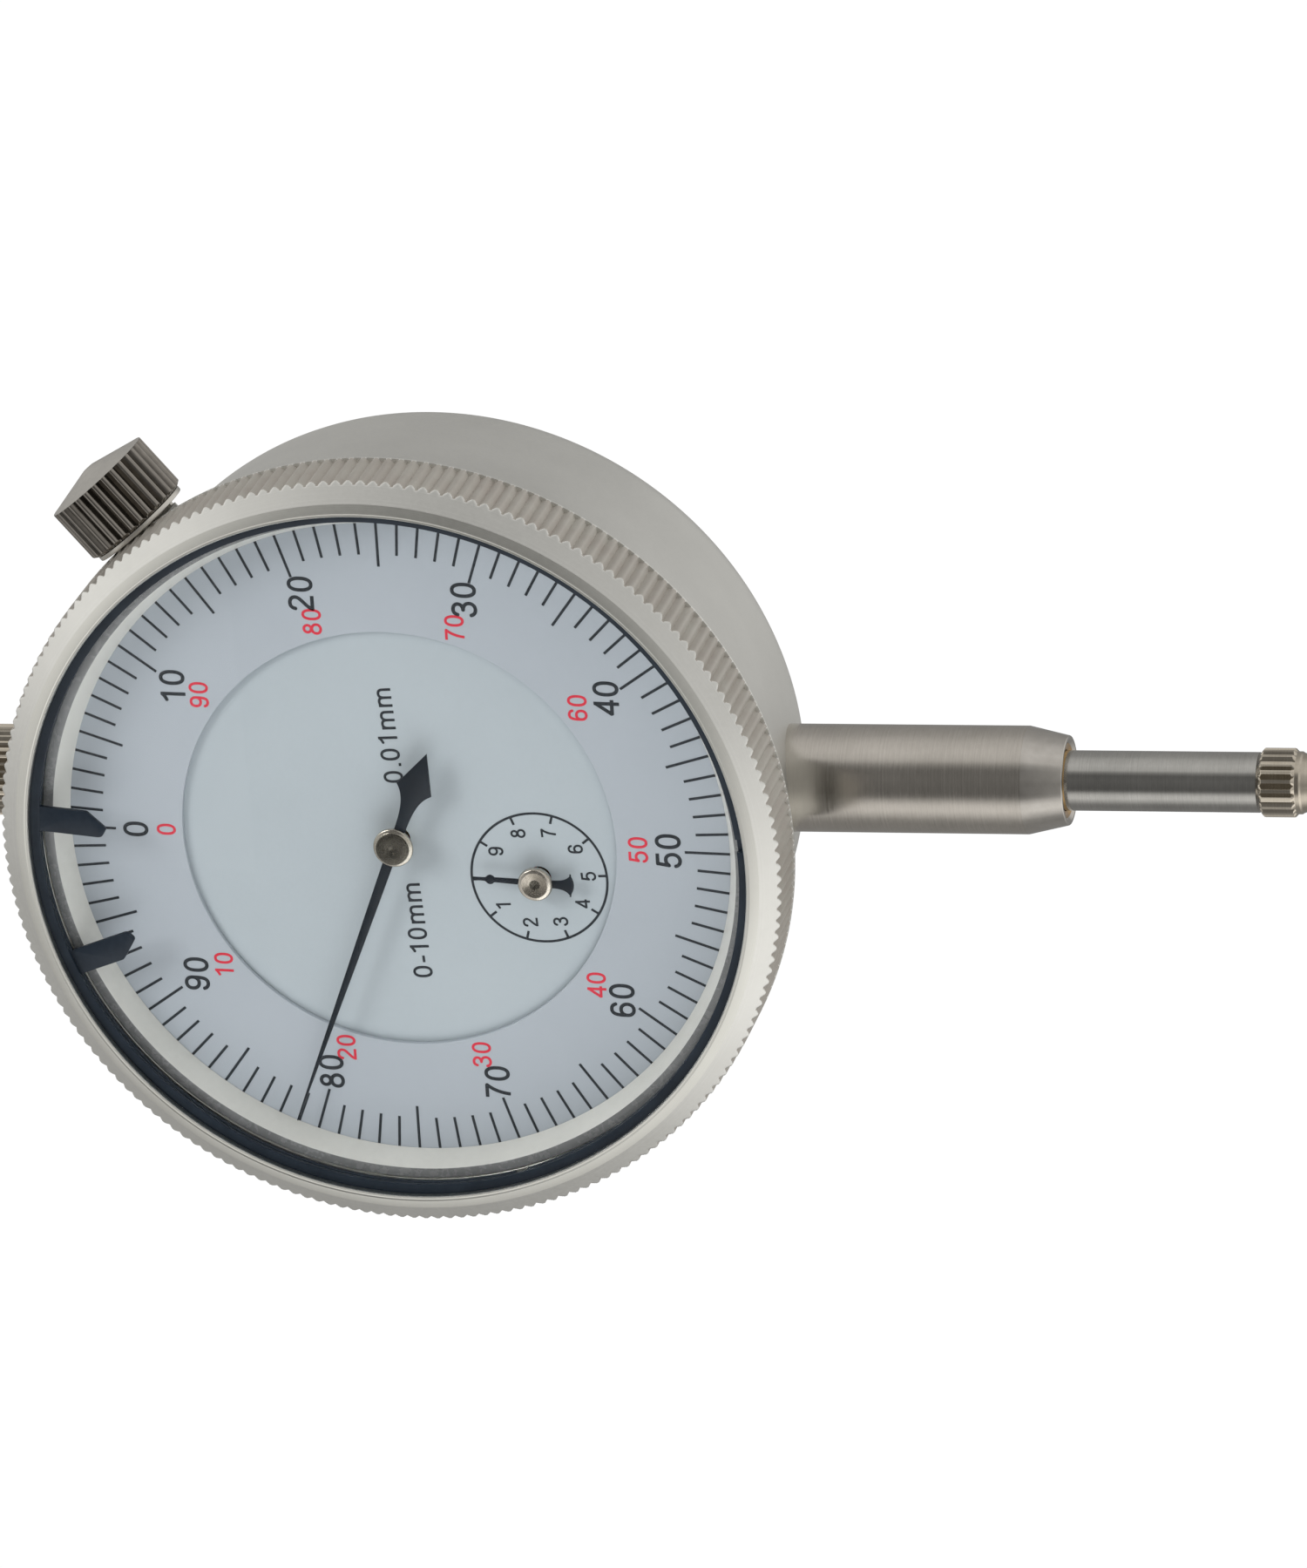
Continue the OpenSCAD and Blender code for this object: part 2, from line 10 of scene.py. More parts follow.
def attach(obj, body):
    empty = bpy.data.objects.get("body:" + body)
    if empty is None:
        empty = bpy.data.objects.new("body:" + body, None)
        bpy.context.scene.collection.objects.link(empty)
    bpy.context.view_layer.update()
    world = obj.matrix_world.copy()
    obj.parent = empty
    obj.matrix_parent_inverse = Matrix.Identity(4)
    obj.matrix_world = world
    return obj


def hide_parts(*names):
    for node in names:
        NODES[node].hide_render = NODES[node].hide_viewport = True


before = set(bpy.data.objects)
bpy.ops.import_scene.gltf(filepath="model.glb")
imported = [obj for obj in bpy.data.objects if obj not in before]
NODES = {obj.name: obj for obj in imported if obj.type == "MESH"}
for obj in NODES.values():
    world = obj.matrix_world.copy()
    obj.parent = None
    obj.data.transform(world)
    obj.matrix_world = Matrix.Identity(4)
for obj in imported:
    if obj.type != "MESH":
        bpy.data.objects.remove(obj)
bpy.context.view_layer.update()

scene = bpy.context.scene
scene.view_settings.view_transform = "Standard"
scene.view_settings.look = "None"

# ------------------------------------------------------------------ frames
# Sizes below are in millimetres in the dial frame: x right, y up, h out of
# the dial face towards the reader. S scales them to metres in the row frame.
S = Matrix.Diagonal((0.001, 0.001, 0.001, 1.0))
DIAL = S @ Matrix.Translation((0, -12.3, 36.65)) @ Matrix.Rotation(math.pi / 2, 4, "X")
LINE = S @ Matrix.Translation((0, 0, 36.65))
CLAMP_AT = 51.8
CLAMP = (DIAL @ Matrix.Rotation(math.radians(-CLAMP_AT), 4, "Z")
         @ Matrix.Translation((0, 0, -3.9)) @ Matrix.Rotation(-math.pi / 2, 4, "X"))
ARBOR = (-3.05, -math.sqrt((0.195 * 55) ** 2 - 3.05 ** 2))
BEZEL_SET = 1.84
MAIN_AT = BEZEL_SET + 3.6 * 81
SMALL_AT = 4.0


def spun(angle, base=DIAL):
    """base turned clockwise as seen by the reader."""
    return base @ Matrix.Rotation(math.radians(-angle), 4, "Z")


def at(x, y, base=DIAL):
    return base @ Matrix.Translation((x, y, 0))


# ------------------------------------------------------------------ meshes
def build(name, verts, faces, place, body, slot=None, hide=(), smooth=32, weld=False):
    v = np.asarray(verts, float)
    m = np.array(place)
    v = v @ m[:3, :3].T + m[:3, 3]
    me = bpy.data.meshes.new(name)
    me.from_pydata(v.tolist(), [], [tuple(int(i) for i in f) for f in faces])
    if weld:
        bm = bmesh.new()
        bm.from_mesh(me)
        bmesh.ops.remove_doubles(bm, verts=bm.verts, dist=2e-7)
        bm.to_mesh(me)
        bm.free()
    fix_normals(me)
    me.validate()
    me.update()
    o = bpy.data.objects.new(name, me)
    scene.collection.objects.link(o)
    shade(me, smooth)
    if body:
        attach(o, body)
    if hide:
        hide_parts(*hide)
    return o


def fix_normals(me):
    bm = bmesh.new()
    bm.from_mesh(me)
    bmesh.ops.recalc_face_normals(bm, faces=bm.faces)
    bm.to_mesh(me)
    bm.free()


def shade(me, angle=32):
    me.shade_smooth()
    me.set_sharp_from_angle(angle=math.radians(angle))


def fillet(points, size=0.1, steps=3, own=None, closed=True):
    """Rounds the corners of a profile. own maps an index to its own size."""
    own = own or {}
    p = [Vector(q) for q in points]
    n, out = len(p), []
    for i in range(n):
        r = own.get(i, size)
        if not closed and i in (0, n - 1):
            r = 0
        a, b, c = p[i - 1], p[i], p[(i + 1) % n]
        u, w = a - b, c - b
        if r <= 0 or u.length < 1e-9 or w.length < 1e-9:
            out.append(tuple(b))
            continue
        ang = u.angle(w)
        if ang > math.radians(176):
            out.append(tuple(b))
            continue
        t = min(r / math.tan(ang / 2), 0.45 * u.length, 0.45 * w.length)
        u.normalize()
        w.normalize()
        s, e = b + u * t, b + w * t
        for k in range(steps + 1):
            f = k / steps
            q = s * (1 - f) ** 2 + b * (2 * f * (1 - f)) + e * f ** 2
            out.append(tuple(q))
    return out


def revolve(profile, seg, closed=True, radius=None, start=0.0, sweep=360.0):
    """Turns a profile of (r, z) about z. radius(theta, r, z) may change r."""
    full = sweep >= 360
    n = len(profile)
    cols = seg if full else seg + 1
    verts, index = [], {}
    for j in range(cols):
        th = math.radians(start + sweep * j / seg)
        c, s = math.cos(th), math.sin(th)
        for i, (r, z) in enumerate(profile):
            if r < 1e-7:
                if (i, 0) not in index:
                    index[i, 0] = len(verts)
                    verts.append((0, 0, z))
                index[i, j] = index[i, 0]
                continue
            rr = radius(th, r, z) if radius else r
            index[i, j] = len(verts)
            verts.append((rr * c, rr * s, z))
    faces = []
    pairs = [(i, (i + 1) % n) for i in range(n if closed else n - 1)]
    for j in range(seg):
        k = (j + 1) % seg if full else j + 1
        for a, b in pairs:
            f = []
            for v in (index[a, j], index[a, k], index[b, k], index[b, j]):
                if v not in f:
                    f.append(v)
            if len(f) > 2:
                faces.append(f)
    if not full and closed:
        faces.append([index[i, 0] for i in range(n)])
        faces.append([index[i, seg] for i in range(n)][::-1])
    return verts, faces


def slab2d(loops, h0, h1):
    """A flat solid from closed outlines. loops is a list of [outer, hole, ...]."""
    verts, faces = [], []
    for group in loops:
        base = len(verts)
        flat = [p for loop in group for p in loop]
        m = len(flat)
        verts += [(x, y, h1) for x, y in flat] + [(x, y, h0) for x, y in flat]
        for t in tessellate_polygon([[Vector((x, y, 0)) for x, y in loop] for loop in group]):
            faces.append((base + t[0], base + t[1], base + t[2]))
            faces.append((base + m + t[2], base + m + t[1], base + m + t[0]))
        k = 0
        for loop in group:
            c = len(loop)
            for i in range(c):
                a, b = base + k + i, base + k + (i + 1) % c
                faces.append((a, b, b + m, a + m))
            k += c
    return verts, faces


def baked(o):
    """Applies the modifiers of an object."""
    dg = bpy.context.evaluated_depsgraph_get()
    me = bpy.data.meshes.new_from_object(o.evaluated_get(dg))
    o.modifiers.clear()
    o.data = me
    return o


def boolean(o, verts, faces, place, op="DIFFERENCE"):
    c = build(o.name + "_tool", verts, faces, place, None)
    m = o.modifiers.new("cut", "BOOLEAN")
    m.operation, m.solver, m.object = op, "EXACT", c
    baked(o)
    bpy.data.objects.remove(c)
    return o


def bevelled(o, width, segments=2, angle=40):
    m = o.modifiers.new("edge", "BEVEL")
    m.width, m.segments, m.limit_method, m.angle_limit = width, segments, "ANGLE", math.radians(angle)
    m.use_clamp_overlap = True
    m.harden_normals = False
    baked(o)
    shade(o.data, 40)
    return o


def disc(r, z0, z1, seg=48):
    return revolve([(0, z0), (r, z0), (r, z1), (0, z1)], seg, closed=False)


def brick(x0, x1, y0, y1, z0, z1):
    v = [(x, y, z) for z in (z0, z1) for y in (y0, y1) for x in (x0, x1)]
    return v, [(0, 2, 3, 1), (4, 5, 7, 6), (0, 1, 5, 4), (2, 6, 7, 3), (0, 4, 6, 2), (1, 3, 7, 5)]


def circle(r, cx=0.0, cy=0.0, n=64):
    return [(cx + r * math.cos(2 * math.pi * i / n), cy + r * math.sin(2 * math.pi * i / n)) for i in range(n)]


# ------------------------------------------------------------------ glyphs
# Every mark is a set of strokes; their union is traced from its distance
# field, so each figure is one clean outline.
def field(grid, strokes, w):
    gx, gy = grid
    best = np.full(gx.shape, 1e9)
    for pts, f0, f1 in strokes:
        pts = np.asarray(pts, float)
        for i in range(len(pts) - 1):
            a, b = pts[i], pts[i + 1]
            length = math.hypot(*(b - a))
            if length < 1e-9:
                continue
            ux, uy = (b - a) / length
            t = (gx - a[0]) * ux + (gy - a[1]) * uy
            tc = np.clip(t, 0, length)
            d = np.hypot(gx - a[0] - tc * ux, gy - a[1] - tc * uy) - w / 2
            if i == 0 and f0:
                d = np.maximum(d, -t)
            if i == len(pts) - 2 and f1:
                d = np.maximum(d, t - length)
            best = np.minimum(best, d)
    return best


def trace(strokes, w, step, keep):
    allp = np.concatenate([np.asarray(s[0], float) for s in strokes])
    lo, hi = allp.min(0) - w, allp.max(0) + w
    xs = np.arange(lo[0], hi[0] + step, step)
    ys = np.arange(lo[1], hi[1] + step, step)
    gx, gy = np.meshgrid(xs, ys)
    v = field((gx, gy), strokes, w)
    v[np.abs(v) < 1e-9] = 1e-9
    inside = v < 0
    mixed = np.argwhere(
        (inside[:-1, :-1] != inside[1:, :-1]) | (inside[:-1, :-1] != inside[:-1, 1:]) | (inside[:-1, :-1] != inside[1:, 1:]))
    nxt, where = {}, {}

    def cross(j0, i0, j1, i1):
        key = (j0, i0, j1, i1) if (j0, i0) < (j1, i1) else (j1, i1, j0, i0)
        if key not in where:
            a, b = v[key[0], key[1]], v[key[2], key[3]]
            t = a / (a - b)
            where[key] = (xs[key[1]] + (xs[key[3]] - xs[key[1]]) * t, ys[key[0]] + (ys[key[2]] - ys[key[0]]) * t)
        return key

    for j, i in mixed:
        c = [(j, i), (j, i + 1), (j + 1, i + 1), (j + 1, i)]
        s = [inside[q] for q in c]
        outs, ins = [], []
        for k in range(4):
            a, b = c[k], c[(k + 1) % 4]
            if s[k] and not s[(k + 1) % 4]:
                outs.append(cross(*a, *b))
            if not s[k] and s[(k + 1) % 4]:
                ins.append(cross(*a, *b))
        if len(outs) == 1:
            nxt[outs[0]] = ins[0]
        else:
            mid = v[j:j + 2, i:i + 2].mean() < 0
            if mid:
                nxt[outs[0]], nxt[outs[1]] = ins[0], ins[1]
                if s[0]:
                    nxt[outs[0]], nxt[outs[1]] = ins[0], ins[1]
            else:
                nxt[outs[0]], nxt[outs[1]] = ins[1], ins[0]
    loops, seen = [], set()
    for k in list(nxt):
        if k in seen:
            continue
        loop, q = [], k
        while q not in seen:
            seen.add(q)
            loop.append(where[q])
            q = nxt[q]
        if len(loop) > 6:
            loops.append(thin(loop, keep))
    area = lambda p: 0.5 * sum(p[i - 1][0] * p[i][1] - p[i][0] * p[i - 1][1] for i in range(len(p)))
    sign = 1 if area(max(loops, key=lambda p: abs(area(p)))) > 0 else -1
    outer = [p for p in loops if area(p) * sign > 0]
    holes = [p for p in loops if area(p) * sign < 0]
    groups = [[p] for p in outer]
    for q in holes:
        for g in sorted(groups, key=lambda g: abs(area(g[0]))):
            if within(q[0], g[0]):
                g.append(q)
                break
    return groups


def within(p, loop):
    x, y = p
    hit = False
    for i in range(len(loop)):
        (x0, y0), (x1, y1) = loop[i - 1], loop[i]
        if (y0 > y) != (y1 > y) and x < (x1 - x0) * (y - y0) / (y1 - y0) + x0:
            hit = not hit
    return hit


def thin(loop, keep):
    """Drops outline points that lie within keep of the line between others."""
    p = np.asarray(loop, float)
    far = int(np.argmax(np.hypot(*(p - p[0]).T)))
    out = []
    for a, b in ((0, far), (far, len(p))):
        q = np.vstack([p[a:b + 1]] if b < len(p) else [p[a:], p[:1]])
        mark = np.zeros(len(q), bool)
        mark[0] = mark[-1] = True
        todo = [(0, len(q) - 1)]
        while todo:
            i, j = todo.pop()
            if j - i < 2:
                continue
            d = q[j] - q[i]
            n = math.hypot(*d) or 1e-12
            e = np.abs((q[i + 1:j, 0] - q[i, 0]) * d[1] - (q[i + 1:j, 1] - q[i, 1]) * d[0]) / n
            k = int(np.argmax(e))
            if e[k] > keep:
                mark[i + 1 + k] = True
                todo += [(i, i + 1 + k), (i + 1 + k, j)]
        out += [tuple(x) for x in q[mark][:-1]]
    return out


def arc(cx, cy, rx, ry, a0, a1, n=20, power=2.0):
    pts = []
    for k in range(n + 1):
        a = math.radians(a0 + (a1 - a0) * k / n)
        c, s = math.cos(a), math.sin(a)
        e = 2 / power
        pts.append((cx + rx * math.copysign(abs(c) ** e, c), cy + ry * math.copysign(abs(s) ** e, s)))
    return pts


def curve(p0, p1, p2, p3, n=12):
    return [tuple((1 - t) ** 3 * a + 3 * (1 - t) ** 2 * t * b + 3 * (1 - t) * t * t * c + t ** 3 * d
                  for a, b, c, d in zip(p0, p1, p2, p3)) for t in [k / n for k in range(n + 1)]]


W = 0.118  # stroke of a figure of height 1
T = 1 - W / 2
B = W / 2
SIX = [(arc(0.335, 0.315, 0.235, 0.315 - B, 0, 360, 36, 2.15), False, False),
       (curve((0.565, 0.745), (0.545, 0.88), (0.45, T), (0.345, T)) + curve((0.345, T), (0.16, T), (0.1, 0.78), (0.1, 0.46))[1:]
        + curve((0.1, 0.46), (0.1, 0.4), (0.1, 0.36), (0.1, 0.315))[1:], True, False)]
GLYPHS = {
    "0": ([(arc(0.335, 0.5, 0.24, 0.5 - B, 0, 360, 48, 2.3), False, False)], 0.777),
    "1": ([([(0.435, 0), (0.435, 1.0)], True, True),
           (curve((0.425, 0.93), (0.36, 0.86), (0.27, 0.8), (0.165, 0.755)), False, True)], 0.777),
    "2": ([(curve((0.1, 0.69), (0.11, 0.87), (0.2, T), (0.345, T)) + curve((0.345, T), (0.48, T), (0.575, 0.86), (0.575, 0.725))[1:]
            + curve((0.575, 0.725), (0.575, 0.5), (0.17, 0.32), (0.105, B))[1:], True, False),
           ([(0.045, B), (0.64, B)], True, True)], 0.777),
    "3": ([(curve((0.105, 0.735), (0.13, 0.87), (0.2, T), (0.32, T)) + curve((0.32, T), (0.45, T), (0.545, 0.86), (0.545, 0.75))[1:]
            + curve((0.545, 0.75), (0.545, 0.62), (0.43, 0.545), (0.27, 0.545))[1:], True, True),
           (curve((0.33, 0.54), (0.49, 0.54), (0.58, 0.43), (0.58, 0.305)) + curve((0.58, 0.305), (0.58, 0.16), (0.47, B), (0.325, B))[1:]
            + curve((0.325, B), (0.2, B), (0.105, 0.13), (0.09, 0.27))[1:], False, True)], 0.777),
    "4": ([([(0.5, 0), (0.5, 1.0)], True, True), ([(0.5, 0.93), (0.085, 0.31)], False, False),
           ([(0.045, 0.29), (0.66, 0.29)], True, True)], 0.777),
    "5": ([([(0.6, T), (0.175, T)], True, False), ([(0.185, T), (0.115, 0.5)], False, False),
           (curve((0.125, 0.5), (0.2, 0.6), (0.27, 0.62), (0.345, 0.62)) + curve((0.345, 0.62), (0.49, 0.62), (0.58, 0.5), (0.58, 0.34))[1:]
            + curve((0.58, 0.34), (0.58, 0.17), (0.46, B), (0.32, B))[1:] + curve((0.32, B), (0.2, B), (0.105, 0.13), (0.09, 0.265))[1:], False, True)], 0.777),
    "6": (SIX, 0.777),
    "7": ([([(0.08, T), (0.6, T)], True, False),
           (curve((0.6, 0.93), (0.43, 0.74), (0.29, 0.42), (0.255, 0.0), 16), False, True)], 0.777),
    "8": ([(arc(0.335, 0.75, 0.19, 0.25 - B, 0, 360, 32), False, False),
           (arc(0.335, 0.29, 0.24, 0.29 - B, 0, 360, 36, 2.1), False, False)], 0.777),
    "9": ([([(0.67 - x, 1 - y) for x, y in p], a, b) for p, a, b in SIX], 0.777),
    ".": ([([(0.195, 0), (0.195, 0.13)], True, True)], 0.388),
    "-": ([([(0.055, 0.36), (0.41, 0.36)], True, True)], 0.465),
    "m": ([([(0.155, 0), (0.155, 0.71)], True, True),
           (curve((0.155, 0.42), (0.16, 0.58), (0.25, 0.665), (0.36, 0.665)) + curve((0.36, 0.665), (0.49, 0.665), (0.57, 0.6), (0.57, 0.44))[1:]
            + [(0.57, 0.0)], False, True),
           (curve((0.57, 0.42), (0.575, 0.58), (0.66, 0.665), (0.775, 0.665)) + curve((0.775, 0.665), (0.905, 0.665), (0.985, 0.6), (0.985, 0.44))[1:]
            + [(0.985, 0.0)], False, True)], 1.163),
}
traced = {}


def glyph(ch, w=W):
    if (ch, w) not in traced:
        wide = w * 1.15 if ch == "." else w
        traced[ch, w] = trace(GLYPHS[ch][0], wide, 0.0125, 0.0022)
    return traced[ch, w]


def word(text, height, wide=1.0, w=W, centre=(0.5, 0.5), gap=0.0):
    """Outlines of a word, centred on the given share of its ink box."""
    x, groups = 0.0, []
    for ch in text:
        groups += [[[(x + px, py) for px, py in loop] for loop in g] for g in glyph(ch, w)]
        x += GLYPHS[ch][1] + gap
    every = np.array([p for g in groups for loop in g for p in loop])
    lo, hi = every.min(0), every.max(0)
    cx = lo[0] + (hi[0] - lo[0]) * centre[0]
    cy = centre[1]
    return [[[((px - cx) * height * wide, (py - cy) * height) for px, py in loop] for loop in g] for g in groups]


def moved(groups, x, y, turn=0.0):
    """Outlines turned clockwise, then moved."""
    a = math.radians(-turn)
    c, s = math.cos(a), math.sin(a)
    return [[[(x + px * c - py * s, y + px * s + py * c) for px, py in loop] for loop in g] for g in groups]


# ------------------------------------------------------------------ materials
def mix_color(nt, fac, a, b):
    n = nt.nodes.new("ShaderNodeMix")
    n.data_type = "RGBA"
    n.inputs["A"].default_value = (*a, 1)
    n.inputs["B"].default_value = (*b, 1)
    nt.links.new(fac, n.inputs["Factor"])
    return n.outputs["Result"]


def math_node(nt, op, a, b=None, c=None, clamp=False):
    n = nt.nodes.new("ShaderNodeMath")
    n.operation, n.use_clamp = op, clamp
    for k, q in enumerate((a, b, c)):
        if q is None:
            continue
        if isinstance(q, (int, float)):
            n.inputs[k].default_value = q
        else:
            nt.links.new(q, n.inputs[k])
    return n.outputs[0]


def remap(nt, x, a, b, c, d):
    n = nt.nodes.new("ShaderNodeMapRange")
    n.clamp = True
    for k, q in zip((1, 2, 3, 4), (a, b, c, d)):
        n.inputs[k].default_value = q
    nt.links.new(x, n.inputs[0])
    return n.outputs[0]


def coords(nt, scale=(1, 1, 1), offset=(0, 0, 0)):
    tc = nt.nodes.new("ShaderNodeTexCoord")
    mp = nt.nodes.new("ShaderNodeMapping")
    mp.inputs["Scale"].default_value = scale
    mp.inputs["Location"].default_value = offset
    nt.links.new(tc.outputs["Object"], mp.inputs["Vector"])
    return mp.outputs["Vector"]


def noise(nt, vec, scale, detail=3.0, rough=0.55, dims="3D"):
    n = nt.nodes.new("ShaderNodeTexNoise")
    n.noise_dimensions = dims
    n.inputs["Scale"].default_value = scale
    n.inputs["Detail"].default_value = detail
    n.inputs["Roughness"].default_value = rough
    nt.links.new(vec, n.inputs["Vector" if dims != "1D" else "W"])
    return n.outputs["Fac"]


def radial(nt, centre=(0.0, 0.03665), axis="Y"):
    """Distance from the dial axis (Y) or from the spindle axis (Z), in metres."""
    tc = nt.nodes.new("ShaderNodeTexCoord")
    sp = nt.nodes.new("ShaderNodeSeparateXYZ")
    nt.links.new(tc.outputs["Object"], sp.inputs[0])
    u = math_node(nt, "SUBTRACT", sp.outputs[0], centre[0])
    v = math_node(nt, "SUBTRACT", sp.outputs[2 if axis == "Y" else 1], centre[1])
    r = math_node(nt, "SQRT", math_node(nt, "ADD", math_node(nt, "MULTIPLY", u, u), math_node(nt, "MULTIPLY", v, v)))
    return r, sp


def fresh(name):
    m = bpy.data.materials.new(name)
    m.use_nodes = True
    return m, m.node_tree, m.node_tree.nodes["Principled BSDF"]


def metal(name, dark, light, rough=(0.25, 0.35), grain=900.0, stretch=(1, 1, 1), bump=0.06, dist=2e-6,
          turned=None, turn_scale=9000.0, turn_bump=0.15, aniso=0.0, soft=180.0, lighter_edges=0.0):
    """Plated or bare metal: two tones in soft clouds, fine grain in roughness
    and bump, and turning marks where turned names an axis."""
    m, nt, p = fresh(name)
    p.inputs["Metallic"].default_value = 1.0
    p.inputs["Anisotropic"].default_value = aniso
    cloud = noise(nt, coords(nt), soft, 4.0, 0.6)
    fine = noise(nt, coords(nt, stretch), grain, 3.0, 0.6)
    tone = math_node(nt, "ADD", math_node(nt, "MULTIPLY", cloud, 0.65), math_node(nt, "MULTIPLY", fine, 0.35))
    height = fine
    if turned:
        if turned == "face":
            r, _ = radial(nt)
        elif turned == "small":
            r, _ = radial(nt, (ARBOR[0] * 1e-3, (36.65 + ARBOR[1]) * 1e-3))
        elif turned == "Z":
            sp = nt.nodes.new("ShaderNodeSeparateXYZ")
            nt.links.new(coords(nt), sp.inputs[0])
            r = sp.outputs[2]
        else:
            sp = nt.nodes.new("ShaderNodeSeparateXYZ")
            nt.links.new(coords(nt), sp.inputs[0])
            r = sp.outputs[1]
        lines = noise(nt, r, turn_scale, 2.0, 0.7, "1D")
        height = math_node(nt, "ADD", math_node(nt, "MULTIPLY", fine, 1 - turn_bump), math_node(nt, "MULTIPLY", lines, turn_bump))
        tone = math_node(nt, "ADD", math_node(nt, "MULTIPLY", tone, 0.7), math_node(nt, "MULTIPLY", lines, 0.3))
    tone = remap(nt, tone, 0.3, 0.7, 0, 1)
    base = mix_color(nt, tone, dark, light)
    # sharp convex edges, found by pointiness, are mixed towards a lighter colour
    if lighter_edges:
        geo = nt.nodes.new("ShaderNodeNewGeometry")
        edge = remap(nt, geo.outputs["Pointiness"], 0.5, 0.56, 0, lighter_edges)
        n = nt.nodes.new("ShaderNodeMix")
        n.data_type = "RGBA"
        nt.links.new(edge, n.inputs["Factor"])
        nt.links.new(base, n.inputs["A"])
        n.inputs["B"].default_value = (*[min(1, c * 1.25 + 0.05) for c in light], 1)
        base = n.outputs["Result"]
    nt.links.new(base, p.inputs["Base Color"])
    nt.links.new(remap(nt, height, 0.3, 0.7, rough[0], rough[1]), p.inputs["Roughness"])
    b = nt.nodes.new("ShaderNodeBump")
    b.inputs["Strength"].default_value = bump
    b.inputs["Distance"].default_value = dist
    nt.links.new(height, b.inputs["Height"])
    nt.links.new(b.outputs["Normal"], p.inputs["Normal"])
    return m


def paint(name, a, b, rough=(0.3, 0.4), grain=2500.0, bump=0.05, dist=2e-6, spec=0.5, coat=0.0, coat_rough=0.1, soft=120.0):
    """Enamel, lacquer or ink: soft clouds of tone, a fine orange peel."""
    m, nt, p = fresh(name)
    p.inputs["Specular IOR Level"].default_value = spec
    p.inputs["Coat Weight"].default_value = coat
    p.inputs["Coat Roughness"].default_value = coat_rough
    cloud = noise(nt, coords(nt), soft, 4.0, 0.55)
    fine = noise(nt, coords(nt), grain, 2.0, 0.6)
    tone = math_node(nt, "ADD", math_node(nt, "MULTIPLY", cloud, 0.7), math_node(nt, "MULTIPLY", fine, 0.3))
    nt.links.new(mix_color(nt, remap(nt, tone, 0.3, 0.7, 0, 1), a, b), p.inputs["Base Color"])
    nt.links.new(remap(nt, fine, 0.3, 0.7, rough[0], rough[1]), p.inputs["Roughness"])
    bp = nt.nodes.new("ShaderNodeBump")
    bp.inputs["Strength"].default_value = bump
    bp.inputs["Distance"].default_value = dist
    nt.links.new(fine, bp.inputs["Height"])
    nt.links.new(bp.outputs["Normal"], p.inputs["Normal"])
    return m


def lin(r, g, b):
    f = lambda c: c / 255 / 12.92 if c <= 10 else ((c / 255 + 0.055) / 1.055) ** 2.4
    return (f(r), f(g), f(b))


def crystal_material():
    m, nt, p = fresh("crystal_clear")
    p.inputs["Transmission Weight"].default_value = 1.0
    p.inputs["IOR"].default_value = 1.18
    p.inputs["Base Color"].default_value = (0.985, 0.995, 1.0, 1)
    nt.links.new(remap(nt, noise(nt, coords(nt), 260.0, 3.0), 0.35, 0.75, 0.0, 0.03), p.inputs["Roughness"])
    path = nt.nodes.new("ShaderNodeLightPath")
    clear = nt.nodes.new("ShaderNodeBsdfTransparent")
    mixer = nt.nodes.new("ShaderNodeMixShader")
    nt.links.new(math_node(nt, "MAXIMUM", path.outputs["Is Shadow Ray"], path.outputs["Is Diffuse Ray"]), mixer.inputs[0])
    nt.links.new(p.outputs[0], mixer.inputs[1])
    nt.links.new(clear.outputs[0], mixer.inputs[2])
    nt.links.new(mixer.outputs[0], nt.nodes["Material Output"].inputs["Surface"])
    return m


